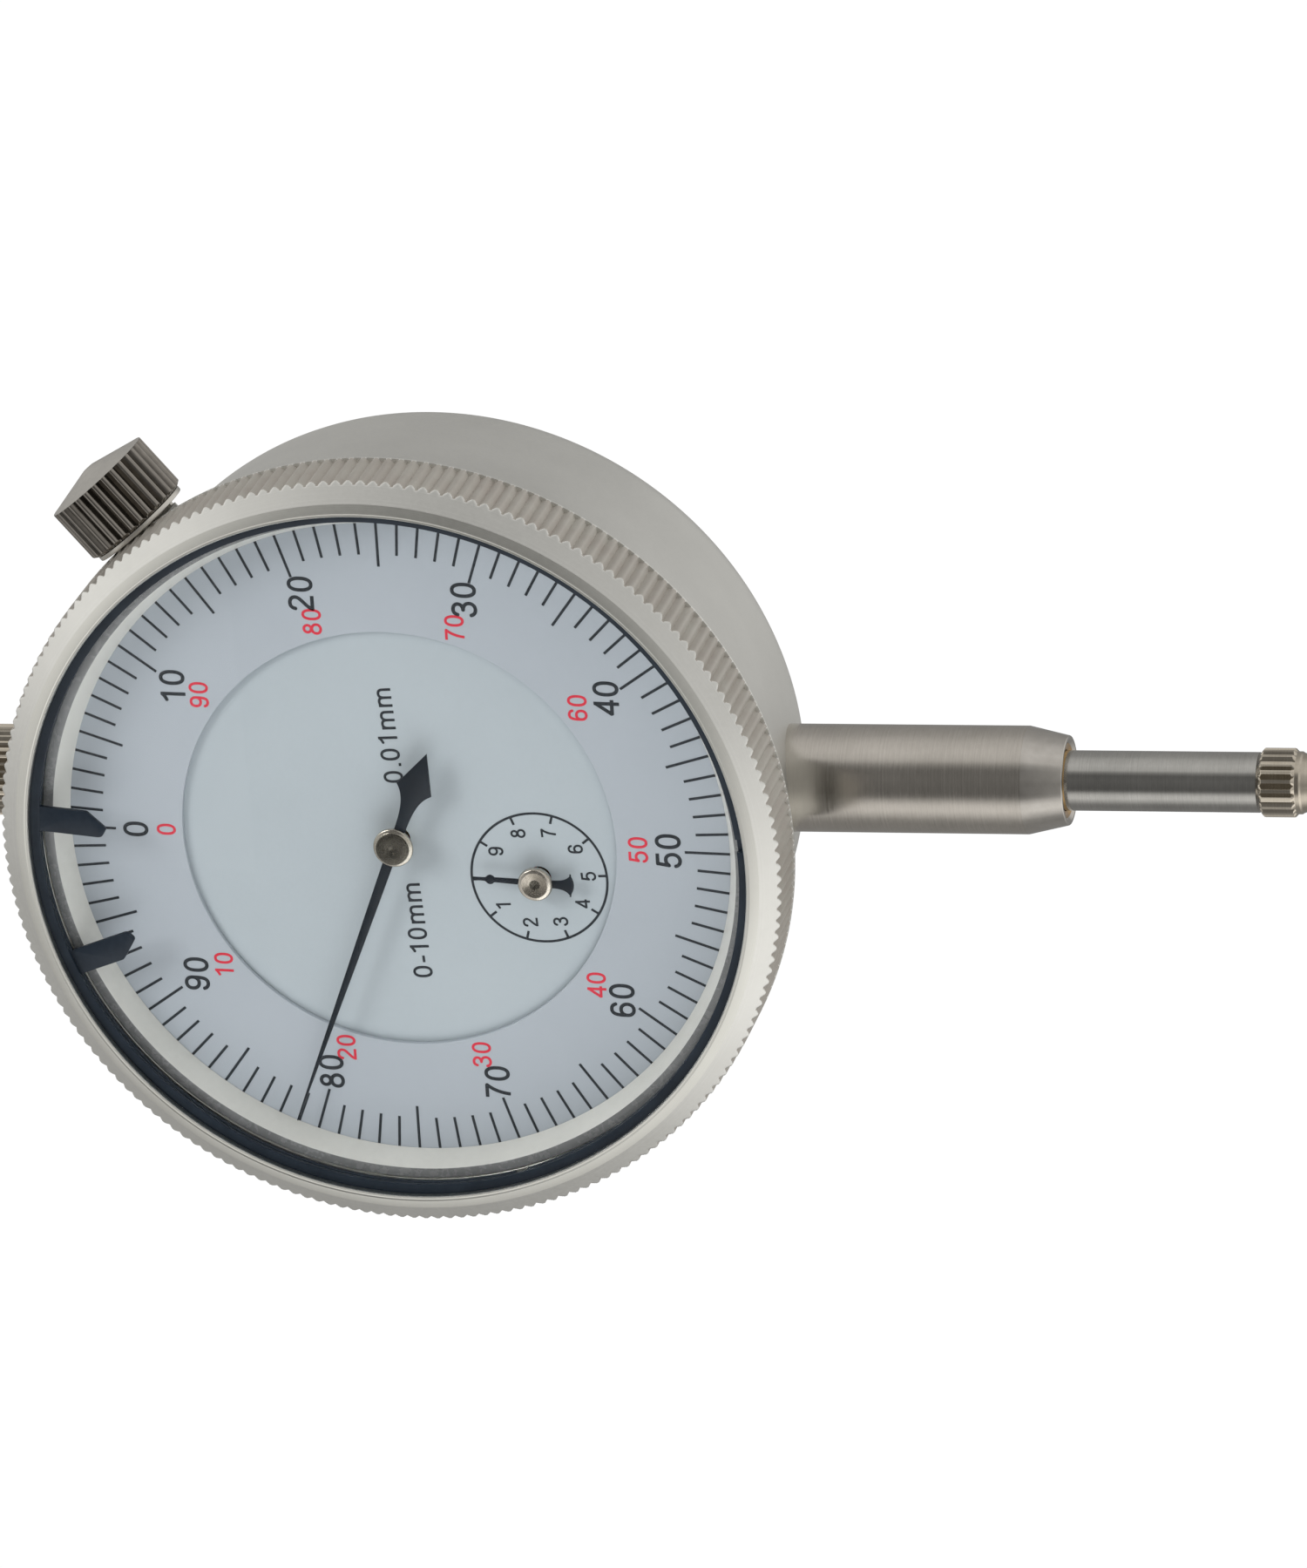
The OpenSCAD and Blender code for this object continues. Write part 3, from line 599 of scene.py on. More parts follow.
M = {
    "satin_chrome": metal("satin_chrome", lin(221, 221, 217), lin(232, 232, 228), (0.5, 0.6), grain=4200, bump=0.22, dist=4e-6, soft=90),
    "bezel_face": metal("bezel_face", lin(226, 226, 221), lin(242, 242, 238), (0.42, 0.52), grain=3600, stretch=(1, 1, 1), bump=0.16, dist=3e-6,
                        turned="face", turn_scale=14000, turn_bump=0.3, soft=110),
    # a dark copy of the satin metal: painted shade on the bezel's rear and the case flange, which also dims their
    # reflection in the stem
    "rear_painted_shade": metal("rear_painted_shade", lin(126, 125, 121), lin(142, 141, 137), (0.4, 0.5), grain=2400, bump=0.12, dist=3e-6, soft=160),
    "bezel_lip": metal("bezel_lip", lin(226, 226, 219), lin(238, 238, 232), (0.3, 0.4), grain=3000, bump=0.1, dist=2e-6, turned="face", turn_scale=16000,
                       turn_bump=0.5, soft=160),
    "bezel_knurl": metal("bezel_knurl", lin(203, 197, 190), lin(214, 212, 205), (0.62, 0.74), grain=2600, stretch=(1, 0.25, 1), bump=0.25, dist=5e-6, soft=420, lighter_edges=0.15),
    "stem_steel": metal("stem_steel", lin(182, 177, 169), lin(206, 201, 193), (0.17, 0.26), grain=1200, stretch=(1, 1, 4), bump=0.12, dist=2e-6,
                        turned="Z", turn_scale=7000, turn_bump=0.6, soft=260),
    "taper_steel": metal("taper_steel", lin(184, 180, 173), lin(206, 202, 196), (0.07, 0.12), grain=1400, bump=0.05, dist=2e-6, soft=260),
    "polished_steel": metal("polished_steel", lin(164, 163, 159), lin(192, 191, 187), (0.1, 0.16), grain=1400, stretch=(1, 1, 3), bump=0.07, dist=2e-6,
                            turned="Z", turn_scale=9000, turn_bump=0.5, soft=260),
    "contact_steel": metal("contact_steel", lin(176, 167, 152), lin(206, 198, 184), (0.1, 0.18), grain=1800, bump=0.08, dist=2e-6, turned="Z",
                           turn_scale=9000, turn_bump=0.4, soft=300, lighter_edges=0.5),
    "arbor_steel": metal("arbor_steel", lin(158, 158, 156), lin(188, 188, 186), (0.15, 0.25), grain=3000, bump=0.05, turned="Y", turn_scale=12000, soft=400),
    "ball_steel": metal("ball_steel", lin(196, 196, 194), lin(214, 214, 212), (0.06, 0.11), grain=3000, bump=0.02, soft=500),
    "knob_nickel": metal("knob_nickel", lin(100, 96, 90), lin(140, 135, 128), (0.12, 0.22), grain=2400, bump=0.12, dist=3e-6, soft=300, lighter_edges=0.8),
    "knob_cap": metal("knob_cap", lin(206, 203, 196), lin(222, 219, 212), (0.3, 0.4), grain=2400, bump=0.1, dist=3e-6, soft=300),
    "hub_nickel": metal("hub_nickel", lin(158, 152, 141), lin(192, 186, 174), (0.14, 0.24), grain=2600, bump=0.06, turned="face", turn_scale=16000,
                        turn_bump=0.4, soft=500),
    "small_hub": metal("small_hub", lin(176, 168, 156), lin(214, 207, 196), (0.14, 0.24), grain=2600, bump=0.06, turned="small", turn_scale=16000,
                       turn_bump=0.4, soft=500),
    "screw_steel": metal("screw_steel", lin(128, 128, 126), lin(160, 160, 158), (0.18, 0.3), grain=3000, bump=0.08, soft=500, lighter_edges=0.5),
    "spring_steel": metal("spring_steel", lin(96, 102, 116), lin(140, 146, 158), (0.15, 0.25), grain=4000, bump=0.05, soft=600),
    "bronze": metal("bronze", lin(186, 148, 92), lin(214, 178, 122), (0.16, 0.26), grain=2400, bump=0.06, turned="Z", turn_scale=9000, soft=400),
    "brass": metal("brass", lin(196, 166, 98), lin(222, 194, 128), (0.2, 0.32), grain=2000, bump=0.07, turned="face", turn_scale=5000, soft=250),
    "gear_brass": metal("gear_brass", lin(204, 174, 104), lin(230, 204, 138), (0.16, 0.26), grain=2600, bump=0.06, soft=300, lighter_edges=0.5),
    "reflector_satin": paint("reflector_satin", lin(206, 207, 202), lin(220, 221, 216), (0.28, 0.4), grain=1800, bump=0.06, spec=0.6, soft=140),
    # a darker grey copy of the reflector's finish: painted shade and reflection where the limit rings overhang the top
    # land
    "reflector_land_painted_shade": paint("reflector_land_painted_shade", lin(122, 124, 125), lin(142, 144, 145), (0.2, 0.32), grain=1800, bump=0.08, spec=0.7, soft=220),
    "dial_enamel": paint("dial_enamel", lin(171, 179, 187), lin(177, 185, 193), (0.42, 0.55), grain=5200, bump=0.10, dist=2e-6, spec=0.35, soft=60),
    "inner_enamel": paint("inner_enamel", lin(176, 186, 192), lin(182, 192, 198), (0.42, 0.55), grain=5200, bump=0.10, dist=2e-6, spec=0.35, soft=60),
    "ink_black": paint("ink_black", lin(30, 35, 40), lin(44, 49, 55), (0.4, 0.55), grain=6000, bump=0.08, spec=0.3, soft=500),
    "ink_red": paint("ink_red", lin(205, 42, 62), lin(222, 62, 80), (0.4, 0.55), grain=6000, bump=0.08, spec=0.3, soft=500),
    "hand_black": paint("hand_black", lin(16, 22, 29), lin(26, 33, 41), (0.3, 0.42), grain=3000, bump=0.05, spec=0.22, soft=400),
    "limit_black": paint("limit_black", lin(24, 33, 43), lin(36, 46, 57), (0.28, 0.4), grain=2600, bump=0.06, spec=0.35, soft=300),
    "ruby": paint("ruby", lin(150, 12, 40), lin(188, 26, 62), (0.08, 0.14), grain=3000, bump=0.02, spec=0.6, coat=0.6, coat_rough=0.03, soft=800),
    "crystal_clear": crystal_material(),
}


def dress(o, *names):
    o.data.materials.clear()
    for n in names:
        o.data.materials.append(M[n])
    return o


def choose(o, rule):
    """Sets each face's material slot from its centre and normal in the dial frame, in mm."""
    inv = np.array(DIAL.inverted())
    me = o.data
    n = len(me.polygons)
    c = np.zeros(n * 3)
    me.polygons.foreach_get("center", c)
    c = c.reshape(-1, 3) @ inv[:3, :3].T + inv[:3, 3]
    nn = np.zeros(n * 3)
    me.polygons.foreach_get("normal", nn)
    nn = nn.reshape(-1, 3) @ inv[:3, :3].T
    nn /= np.maximum(np.linalg.norm(nn, axis=1, keepdims=True), 1e-12)
    me.polygons.foreach_set("material_index", rule(c, nn).astype(np.int32))


# ------------------------------------------------------------------ bezel
TEETH = 198
TIP, ROOT = 29.43, 29.13


def bezel_edge(th, r, z):
    """The knurl cuts every part of the rim that stands outside it."""
    if r < 28.9 or z > 3.7 or z < -1.38:
        return r
    f = (th * TEETH / (2 * math.pi)) % 1.0
    d = abs(f - 0.5) * 2
    k = ROOT + (TIP - ROOT) * min(1.0, d / 0.8)
    return min(r, k)


bezel_profile = fillet(
    [(27.36, -2.2), (28.9, -2.2), (29.43, -1.6), (29.43, -1.39), (29.43, -1.37), (29.43, 3.1), (28.0, 4.19), (27.34, 4.47),
     (27.24, 4.42), (27.12, 4.45), (27.04, 4.3), (27.04, 3.72), (27.65, 3.72), (27.65, 1.93), (26.62, 1.93),
     (26.62, -0.42), (25.6, -0.42), (25.6, -0.8), (27.36, -0.8), (27.36, -1.28), (27.72, -1.28), (27.72, -1.92),
     (27.36, -1.92)], 0.05, 3, {2: 0.06, 3: 0, 4: 0, 5: 0.1, 6: 0.04, 7: 0.05, 8: 0.02, 9: 0.03})
# points down the rim, so that the grooves run out on the chamfer and the cone
full = []
for i, (r, z) in enumerate(bezel_profile):
    full.append((r, z))
    r2, z2 = bezel_profile[(i + 1) % len(bezel_profile)]
    if r > 28.3 and r2 > 27.9 and math.hypot(r2 - r, z2 - z) > 0.5:
        k = 18 if z2 > 3.5 else 6
        full += [(r + (r2 - r) * q / k, z + (z2 - z) * q / k) for q in range(1, k)]
bezel = build("bezel_knurled", *revolve(full, TEETH * 8, True, bezel_edge), DIAL, "bezel", "bezel_metal", ["bezel"], smooth=50)
dress(bezel, "bezel_face", "bezel_knurl", "bezel_lip", "rear_painted_shade")


def bezel_zone(c, n):
    r = np.hypot(c[:, 0], c[:, 1])
    rim = (r > 28.9) & (c[:, 2] < 3.6) & (c[:, 2] > -1.38) & (n[:, 2] < 0.5)
    # slot 3, the bezel's rear, takes the painted shade
    return np.where(rim, 1, np.where((r < 27.99) & (c[:, 2] > 1.0), 2, np.where(c[:, 2] < -1.64, 3, 0)))


choose(bezel, bezel_zone)

crystal = build("crystal_pane", *revolve(fillet([(0, 1.95), (27.6, 1.95), (27.6, 2.58), (27.42, 2.75), (0, 2.75)], 0.05, 3, closed=False), 256, False),
                DIAL, "bezel", "crystal_clear", ["crystal"])
dress(crystal, "crystal_clear")

reflector = build("reflector_cone", *revolve(fillet([(24.9, 0.02), (26.55, 0.02), (26.55, 1.91), (25.8, 1.91)], 0.05), 256), DIAL,
                  "bezel", "reflector_metal", ["reflector_ring"])
dress(reflector, "reflector_satin", "reflector_land_painted_shade")
# the flat top land takes the painted shade
choose(reflector, lambda c, n: (n[:, 2] > 0.8) & (c[:, 2] > 1.7))

scale = build("scale_disc", *revolve(fillet([(16.4, -0.4), (26.55, -0.4), (26.55, 0), (16.4, 0)], 0.03, 3, {3: 0.07}), 256), DIAL,
              "bezel", "dial_enamel", ["scale_ring"])
dress(scale, "dial_enamel")

# printed scale: 100 lines and two rows of figures
INK = (0.0, 0.014)
marks = []
for k in range(100):
    a = math.radians(3.6 * k)
    r0 = 21.53 if k % 5 == 0 else 22.46
    hw = 0.102
    c, s = math.cos(a), math.sin(a)
    marks.append([[(r * s + w * c, r * c - w * s) for r, w in ((r0, hw), (r0, -hw), (24.96, -hw), (24.96, hw))]])
BLACK = [(0.65, 20.0), (12.1, 15.9), (19.4, 5.4), (18.96, -6.8), (11.35, -16.7), (-0.6, -20.3), (-12.6, -15.8), (-19.4, -5.7), (-18.8, 7.0), (-11.0, 16.6)]
RED = [(0.65, 17.65), (-10.2, 14.4), (-16.8, 5.65), (-17.2, -4.7), (-11.4, -13.96), (-0.54, -18.04), (10.6, -14.5), (16.8, -5.9), (17.2, 4.77), (11.4, 13.96)]


def on_ring(p):
    """A place on the dial as printed, before the ring is turned."""
    a = math.radians(BEZEL_SET)
    return p[0] * math.cos(a) - p[1] * math.sin(a), p[0] * math.sin(a) + p[1] * math.cos(a)


for k in range(10):
    marks += moved(word(str(10 * k), 1.9, w=0.142), *on_ring(BLACK[k]))
print_black = build("scale_print_black", *slab2d(marks, *INK), spun(BEZEL_SET), "bezel", "hand_black")
dress(print_black, "ink_black")
reds = []
for k in range(10):
    reds += moved(word(str(10 * k), 1.44, w=0.14), *on_ring(RED[k]))
print_red = build("scale_print_red", *slab2d(reds, *INK), spun(BEZEL_SET), "bezel", "dial_enamel")
dress(print_red, "ink_red")

# ------------------------------------------------------------------ inner dial
inner = build("inner_dial_disc", *revolve(fillet([(0.8, -0.85), (17.6, -0.85), (17.6, -0.46), (0.8, -0.46)], 0.04, 3), 192), DIAL,
              "case", "dial_enamel", ["inner_dial"])
boolean(inner, *disc(0.9, -3, 2), at(*ARBOR))
shade(inner.data)
dress(inner, "inner_enamel")
TILT = -2.3
small = [(circle(5.1, n=120) + [circle(5.1, n=120)[0]], False, False)]
for k in range(10):
    a = math.radians(-36 * k)
    small.append(([(4.45 * math.sin(a), 4.45 * math.cos(a)), (5.1 * math.sin(a), 5.1 * math.cos(a))], True, False))
ring = moved(trace(small, 0.185, 0.03, 0.004), *ARBOR, TILT)
for k in range(1, 10):
    a = math.radians(-36 * k)
    ring += moved(moved(word(str(k), 1.12, w=0.145), 3.72 * math.sin(a), 3.72 * math.cos(a)), *ARBOR, TILT)
ring += moved(word("0-10mm", 1.46, 1.04, w=0.135, centre=(0, 0)), -11.18, -1.46, TILT)
ring += moved(word("0.01mm", 1.46, 1.04, w=0.135, centre=(0, 0)), 4.39, -0.76, TILT)
inner_print = build("inner_print", *slab2d(ring, -0.46, -0.446), DIAL, "case", "hand_black")
dress(inner_print, "ink_black")

# ------------------------------------------------------------------ hands
half = [(0.40, 1.0), (0.34, 6), (0.25, 12), (0.16, 18), (0.05, 24.35)]
tail = curve((0.42, -1.2), (0.40, -3.3), (0.68, -4.35), (1.36, -4.95), 10)
outline = half + [(-x, y) for x, y in half[::-1]] + [(-x, y) for x, y in tail] + [(0, -8.05)] + tail[::-1]
hand = build("main_hand_blade", *slab2d([[outline]], 1.12, 1.24), spun(MAIN_AT), "centre_arbor", "hand_black", ["main_hand"])
boolean(hand, *disc(1.3, 1.12, 1.24, 64), DIAL, "UNION")
boolean(hand, *disc(0.52, 0, 3), DIAL)
bevelled(hand, 2.5e-5)
dress(hand, "hand_black")

hub = build("main_hub_turned", *revolve(fillet(
    [(0.505, 0.5), (1.0, 0.5), (1.0, 1.11), (0.515, 1.11), (0.515, 1.25), (1.5, 1.25), (1.5, 1.5), (1.22, 1.56), (1.22, 1.85), (0.34, 1.85), (0.3, 1.76),
     (0.0, 1.7), (0, 1.5), (0.505, 1.5)], 0.05, 3, {5: 0.08, 6: 0.1, 8: 0.09}, closed=True), 96), DIAL,
    "centre_arbor", "hub_nickel", ["main_hand_hub"])
M["hub_dark"] = metal("hub_dark", lin(74, 71, 64), lin(98, 94, 86), (0.22, 0.32), grain=2600, bump=0.08, turned="face", turn_scale=16000, turn_bump=0.5, soft=500)
dress(hub, "hub_nickel", "hub_dark")
choose(hub, lambda c, n: (np.hypot(c[:, 0], c[:, 1]) < 1.24) & (c[:, 2] > 1.6))

sh = [(0.23, 0.8), (0.18, 3.1)] + arc(0, 3.45, 0.36, 0.36, -58, 58, 8) + [(0.13, 3.85), (0.1, 4.78)]
stail = curve((0.3, -1.0), (0.28, -2.0), (0.42, -2.35), (0.9, -2.62), 8)
fan = arc(0, -2.0, 1.06, 0.84, -36, -144, 8)
sh_outline = sh + [(-x, y) for x, y in sh[::-1]] + [(-x, y) for x, y in stail] + fan[::-1] + stail[::-1]
shand = build("small_hand_blade", *slab2d([[sh_outline]], 0.46, 0.58), spun(SMALL_AT, at(*ARBOR)), "rack_arbor", "hand_black", ["small_hand"])
boolean(shand, *disc(1.2, 0.46, 0.58, 64), at(*ARBOR), "UNION")
boolean(shand, *disc(0.47, 0, 3), at(*ARBOR))
bevelled(shand, 2.0e-5)
dress(shand, "hand_black")
shub = build("small_hub_turned", *revolve(fillet(
    [(0.455, -0.2), (0.9, -0.2), (0.9, 0.45), (0.465, 0.45), (0.465, 0.59), (1.3, 0.59), (1.3, 0.84), (1.2, 1.0), (0.98, 1.05), (0.9, 1.03), (0.4, 0.96), (0.36, 0.935), (0, 0.93), (0, 0.92), (0.455, 0.92)],
    0.05, 3, {5: 0.05, 6: 0.08, 7: 0.08, 8: 0.03}), 96), at(*ARBOR), "rack_arbor", "hub_nickel", ["small_hand_hub"])
dress(shub, "small_hub", "hub_dark")
M["small_dish"] = metal("small_dish", lin(138, 131, 120), lin(166, 158, 146), (0.2, 0.3), grain=2600, bump=0.04, turned="small", turn_scale=9000, turn_bump=0.3, soft=500)
shub.data.materials.append(M["small_dish"])


def small_zone(c, n):
    r = np.hypot(c[:, 0] - ARBOR[0], c[:, 1] - ARBOR[1])
    return np.where((c[:, 2] > 0.7) & (r < 0.4), 1, np.where((c[:, 2] > 0.7) & (r < 0.96), 2, 0))


choose(shub, small_zone)


# ------------------------------------------------------------------ limit hands
POINTER = [(-0.97, 26.85), (-0.97, 21.62), (-0.24, 21.28), (0.97, 22.82), (0.97, 26.85)]


def limit(name, h0, h1, where, gap, side, body, node):
    start = 90 - gap + 1.1
    o = build(name, *revolve(fillet([(26.38, h0), (27.6, h0), (27.6, h1), (26.38, h1)], 0.06, 2), 300, True, None, start, 357.8), DIAL,
              body, "limit_black", [node])
    blade = fillet([(side * x, y) for x, y in POINTER], 0.0, 5, {1: 0.5, 2: 0.3, 3: 0.5})
    boolean(o, *slab2d([[blade]], h0 + 0.03, h0 + 0.35), spun(where), "UNION")
    bevelled(o, 3e-5)
    dress(o, "limit_black")
    return o


limit("limit_marker_a", 3.26, 3.66, 6.3, 177, 1, "limit_hand_a", "limit_hand_a")
limit("limit_marker_b", 2.8, 3.2, -19.7, 253, -1, "limit_hand_b", "limit_hand_b")

# ------------------------------------------------------------------ case
case_arc = [(26.85 - 3.8 + 3.8 * math.cos(math.radians(a)), -20.8 + 3.8 - 3.8 * math.sin(math.radians(a))) for a in range(0, 91, 6)]
case_profile = fillet([(25.6, -0.9), (27.3, -0.9), (27.3, -1.3), (27.0, -1.3), (27.0, -1.9), (27.3, -1.9), (27.3, -2.35), (28.5, -2.35),
                       (28.6, -2.5), (28.6, -2.9), (28.0, -3.4)], 0.06, 3, {10: 0.3}, closed=False)
case_profile += case_arc + fillet([case_arc[-1], (23.03, -20.8), (23.03, -19.3), (19.5, -19.3), (19.5, -17.8), (25.6, -17.8), (25.6, -0.9)], 0.08, 3, closed=False)[1:-1]
case = build("case_body", *revolve(case_profile, 288), DIAL, "case", "satin_chrome", ["case"])
boss = fillet([(-2.75, -2.7), (2.75, -2.7), (2.75, 1.45), (-2.75, 1.45)], 0.5, 5)
boolean(case, *slab2d([[boss]], 26.2, 29.08), CLAMP, "UNION")
boolean(case, *disc(3.51, -40, -20, 96), LINE)
boolean(case, *disc(3.73, -40, -27, 96), LINE)
boolean(case, *disc(2.9, 20, 40, 72), LINE)
boolean(case, *disc(1.03, 24, 31, 48), CLAMP)
for q in range(4):
    boolean(case, *disc(0.85, -20.8, -16.8, 24), spun(45 + 90 * q) @ Matrix.Translation((0, 21.3, 0)))
shade(case.data, 28)
dress(case, "satin_chrome", "rear_painted_shade")
# the case flange faces take the same painted shade
choose(case, lambda c, n: (np.hypot(c[:, 0], c[:, 1]) > 27.0) & (c[:, 2] > -3.3) & (n[:, 2] < 0.5) & (n[:, 2] > -0.9))

# ------------------------------------------------------------------ back
back = build("back_plate_lug", *revolve(fillet([(0, -20.8), (23.0, -20.8), (23.0, -19.3), (0, -19.3)], 0.15, 3, closed=False), 192, False), DIAL,
             "case", "satin_chrome", ["back_cover"])
lug = [(-6, -20.3)] + [(6 * math.cos(math.radians(180 + a)), -28.3 + 6 * math.sin(math.radians(180 + a))) for a in range(0, 181, 6)] + [(6, -20.3)]
LUG = S @ Matrix(((0, 0, 1, 0), (0, -1, 0, -12.3), (1, 0, 0, 36.65), (0, 0, 0, 1)))
lug_o = build("lug_tool", *slab2d([[[(x, h) for x, h in lug]]], -2.5, 2.5), LUG, None)
bevelled(lug_o, 5e-4, 3, 60)
m = back.modifiers.new("lug", "BOOLEAN")
m.operation, m.solver, m.object = "UNION", "EXACT", lug_o
baked(back)
bpy.data.objects.remove(lug_o)
hole = revolve(fillet([(0, -2.6), (3.65, -2.6), (3.25, -2.15), (3.25, 2.15), (3.65, 2.6), (0, 2.6)], 0.0, closed=False), 96, False)
boolean(back, *hole, LUG @ Matrix.Translation((0, -28.3, 0)))
for q in range(4):
    p = spun(45 + 90 * q) @ Matrix.Translation((0, 21.3, 0))
    boolean(back, *revolve([(0, -20.9), (1.82, -20.9), (1.0, -20.06), (1.0, -19), (0, -19)], 48, False), p)
shade(back.data, 30)
M["back_satin"] = metal("back_satin", lin(184, 183, 178), lin(204, 203, 198), (0.3, 0.4), grain=2000, bump=0.1, dist=3e-6, turned="face", turn_scale=7000, turn_bump=0.5, soft=110)
dress(back, "back_satin")
screws = None
for q in range(4):
    v, f = revolve(fillet([(0, -20.78), (1.66, -20.78), (1.7, -20.72), (0.82, -19.98), (0.8, -17.9), (0, -17.9)], 0.04, 2, closed=False), 48, False)
    o = build(f"back_screw_{q + 1}", v, f, spun(45 + 90 * q) @ Matrix.Translation((0, 21.3, 0)), "case", "screw_steel",
              ["back_cover_screws"] if q == 0 else ())
    boolean(o, *brick(-2.2, 2.2, -0.2, 0.2, -21.3, -20.5),
            spun(45 + 90 * q) @ Matrix.Translation((0, 21.3, 0)) @ Matrix.Rotation(0.5 * q, 4, "Z"))
    shade(o.data, 30)
    dress(o, "screw_steel")

# ------------------------------------------------------------------ stem and spindle
END, SHOW = 47.9, 14.1
stem = build("stem_turned", *revolve(fillet(
    [(2.75, -23.2), (4.9, -23.2), (4.9, -24.6), (3.5, -24.6), (3.5, -26.0), (4.0, -26.0), (4.0, -44.9), (3.3, -47.9), (3.02, -47.9), (2.75, -47.6)],
    0.1, 4, {5: 0.03, 6: 0.12, 7: 0.12, 8: 0.06}), 192), LINE, "case", "stem_steel", ["stem"], smooth=9)
dress(stem, "stem_steel", "taper_steel")
choose(stem, lambda c, n: c[:, 1] < -44.93)
bush = build("lower_bush_turned", *revolve(fillet([(2.25, -36.9), (2.74, -36.9), (2.74, -47.75), (2.6, -47.75), (2.25, -47.62)], 0.06, 3, {2: 0.05}), 96), LINE,
             "case", "bronze", ["lower_bush"])
dress(bush, "bronze")

TIPZ = -END - SHOW


def contact_edge(th, r, z):
    if r < 2.4 or z > TIPZ - 0.15 or z < TIPZ - 2.77:
        return r
    f = (th * 22 / (2 * math.pi)) % 1.0
    return min(r, 2.26 + 0.28 * min(1.0, (abs(f - 0.5) * 2 / 0.66) ** 1.2))


cp = fillet([(0, TIPZ + 4.5), (1.24, TIPZ + 4.5), (1.24, TIPZ - 0.2), (2.3, TIPZ - 0.2), (2.54, TIPZ - 0.4), (2.54, TIPZ - 2.62), (2.3, TIPZ - 2.85), (2.3, TIPZ - 3.15),
             (2.2, TIPZ - 3.3), (1.35, TIPZ - 6.2), (0, TIPZ - 6.2)], 0.06, 3, {4: 0.1, 5: 0.1, 9: 0.03}, closed=False)
long = []
for i, (r, z) in enumerate(cp):
    long.append((r, z))
    if i + 1 < len(cp) and r > 2.5 and cp[i + 1][0] > 2.5 and abs(cp[i + 1][1] - z) > 1:
        long += [(r, z + (cp[i + 1][1] - z) * q / 6) for q in range(1, 6)]
contact = build("contact_point", *revolve(long, 264, False, contact_edge), LINE, "spindle", "contact_steel", ["contact_body"], smooth=40)
dress(contact, "contact_steel")
ball = build("contact_sphere", *revolve([(1.5 * math.sin(math.radians(a)), 1.5 * math.cos(math.radians(a)) + TIPZ - 6.0) for a in range(0, 181, 6)], 72, False),
             LINE, "spindle", "ball_steel", ["contact_ball"])
dress(ball, "ball_steel")


def cap_edge(th, r, z):
    if r < 3.2 or z < 29.5 or z > 37.0:
        return r
    f = (th * 36 / (2 * math.pi)) % 1.0
    return min(r, 3.2 + 0.25 * min(1.0, (abs(f - 0.5) * 2 / 0.7) ** 1.2))


cap_profile = fillet([(2.24, 28.6), (3.45, 28.6), (3.45, 37.2), (2.9, 38.0), (0, 38.0), (0, 34.2), (1.52, 34.2), (1.52, 29.35), (2.24, 29.35)], 0.1, 3,
                     {1: 0.12, 2: 0.12, 3: 0.2, 4: 0, 5: 0})
longc = []
for i, (r, z) in enumerate(cap_profile):
    longc.append((r, z))
    r2, z2 = cap_profile[(i + 1) % len(cap_profile)]
    if r > 3.4 and r2 > 3.4 and abs(z2 - z) > 1:
        longc += [(r, z + (z2 - z) * q / 16) for q in range(1, 16)]
cap = build("lifting_cap_knurled", *revolve(longc, 288, True, cap_edge), LINE, "spindle", "stem_steel", ["lifting_cap"], smooth=40)
dress(cap, "contact_steel")

# ------------------------------------------------------------------ clamp
KR, KL = 4.25, 4.45


def knob_edge(th, r, z):
    if r < 3.9 or z < 30.0 or z > 29.9 + KL - 0.02:
        return r
    f = (th * 30 / (2 * math.pi)) % 1.0
    return min(r, KR - 0.42 + 0.42 * min(1.0, (abs(f - 0.5) * 2 / 0.7) ** 1.05))


kp = fillet([(0, 26.0), (0.98, 26.0), (0.98, 29.92), (KR - 0.3, 29.92), (KR, 30.12), (KR, 29.9 + KL), (KR - 0.12, 29.9 + KL + 0.02), (0.5, 29.9 + KL + 0.9), (0, 29.9 + KL + 0.92)],
            0.06, 3, {0: 0.1, 7: 0.3}, closed=False)
kl = []
for i, (r, z) in enumerate(kp):
    kl.append((r, z))
    if i + 1 < len(kp) and r > 4.2 and kp[i + 1][0] > 4.2 and abs(kp[i + 1][1] - z) > 1:
        kl += [(r, z + (kp[i + 1][1] - z) * q / 10) for q in range(1, 10)]
knob = build("clamp_thumb_knob", *revolve(kl, 300, False, knob_edge), CLAMP, "clamp_knob", "knob_nickel", ["clamp_knob"], smooth=40)
dress(knob, "knob_nickel", "knob_cap")
inv_k = np.array((CLAMP).inverted())
inv_d = np.array(DIAL)


def on_cap(c, n):
    w = c @ inv_d[:3, :3].T + inv_d[:3, 3]
    k = w @ inv_k[:3, :3].T + inv_k[:3, 3]
    return k[:, 2] > 29.9 + KL + 0.005


choose(knob, on_cap)
plate = build("clamp_washer_plate", *revolve(fillet([(1.08, 29.5), (3.9, 29.5), (3.9, 29.88), (1.08, 29.88)], 0.08, 3), 96), CLAMP, "clamp_plate", "knob_nickel", ["clamp_plate"])
boolean(plate, *brick(-1.5, 1.5, 2.8, 3.25, 28.0, 29.7), CLAMP, "UNION")
shade(plate.data)
dress(plate, "knob_cap")

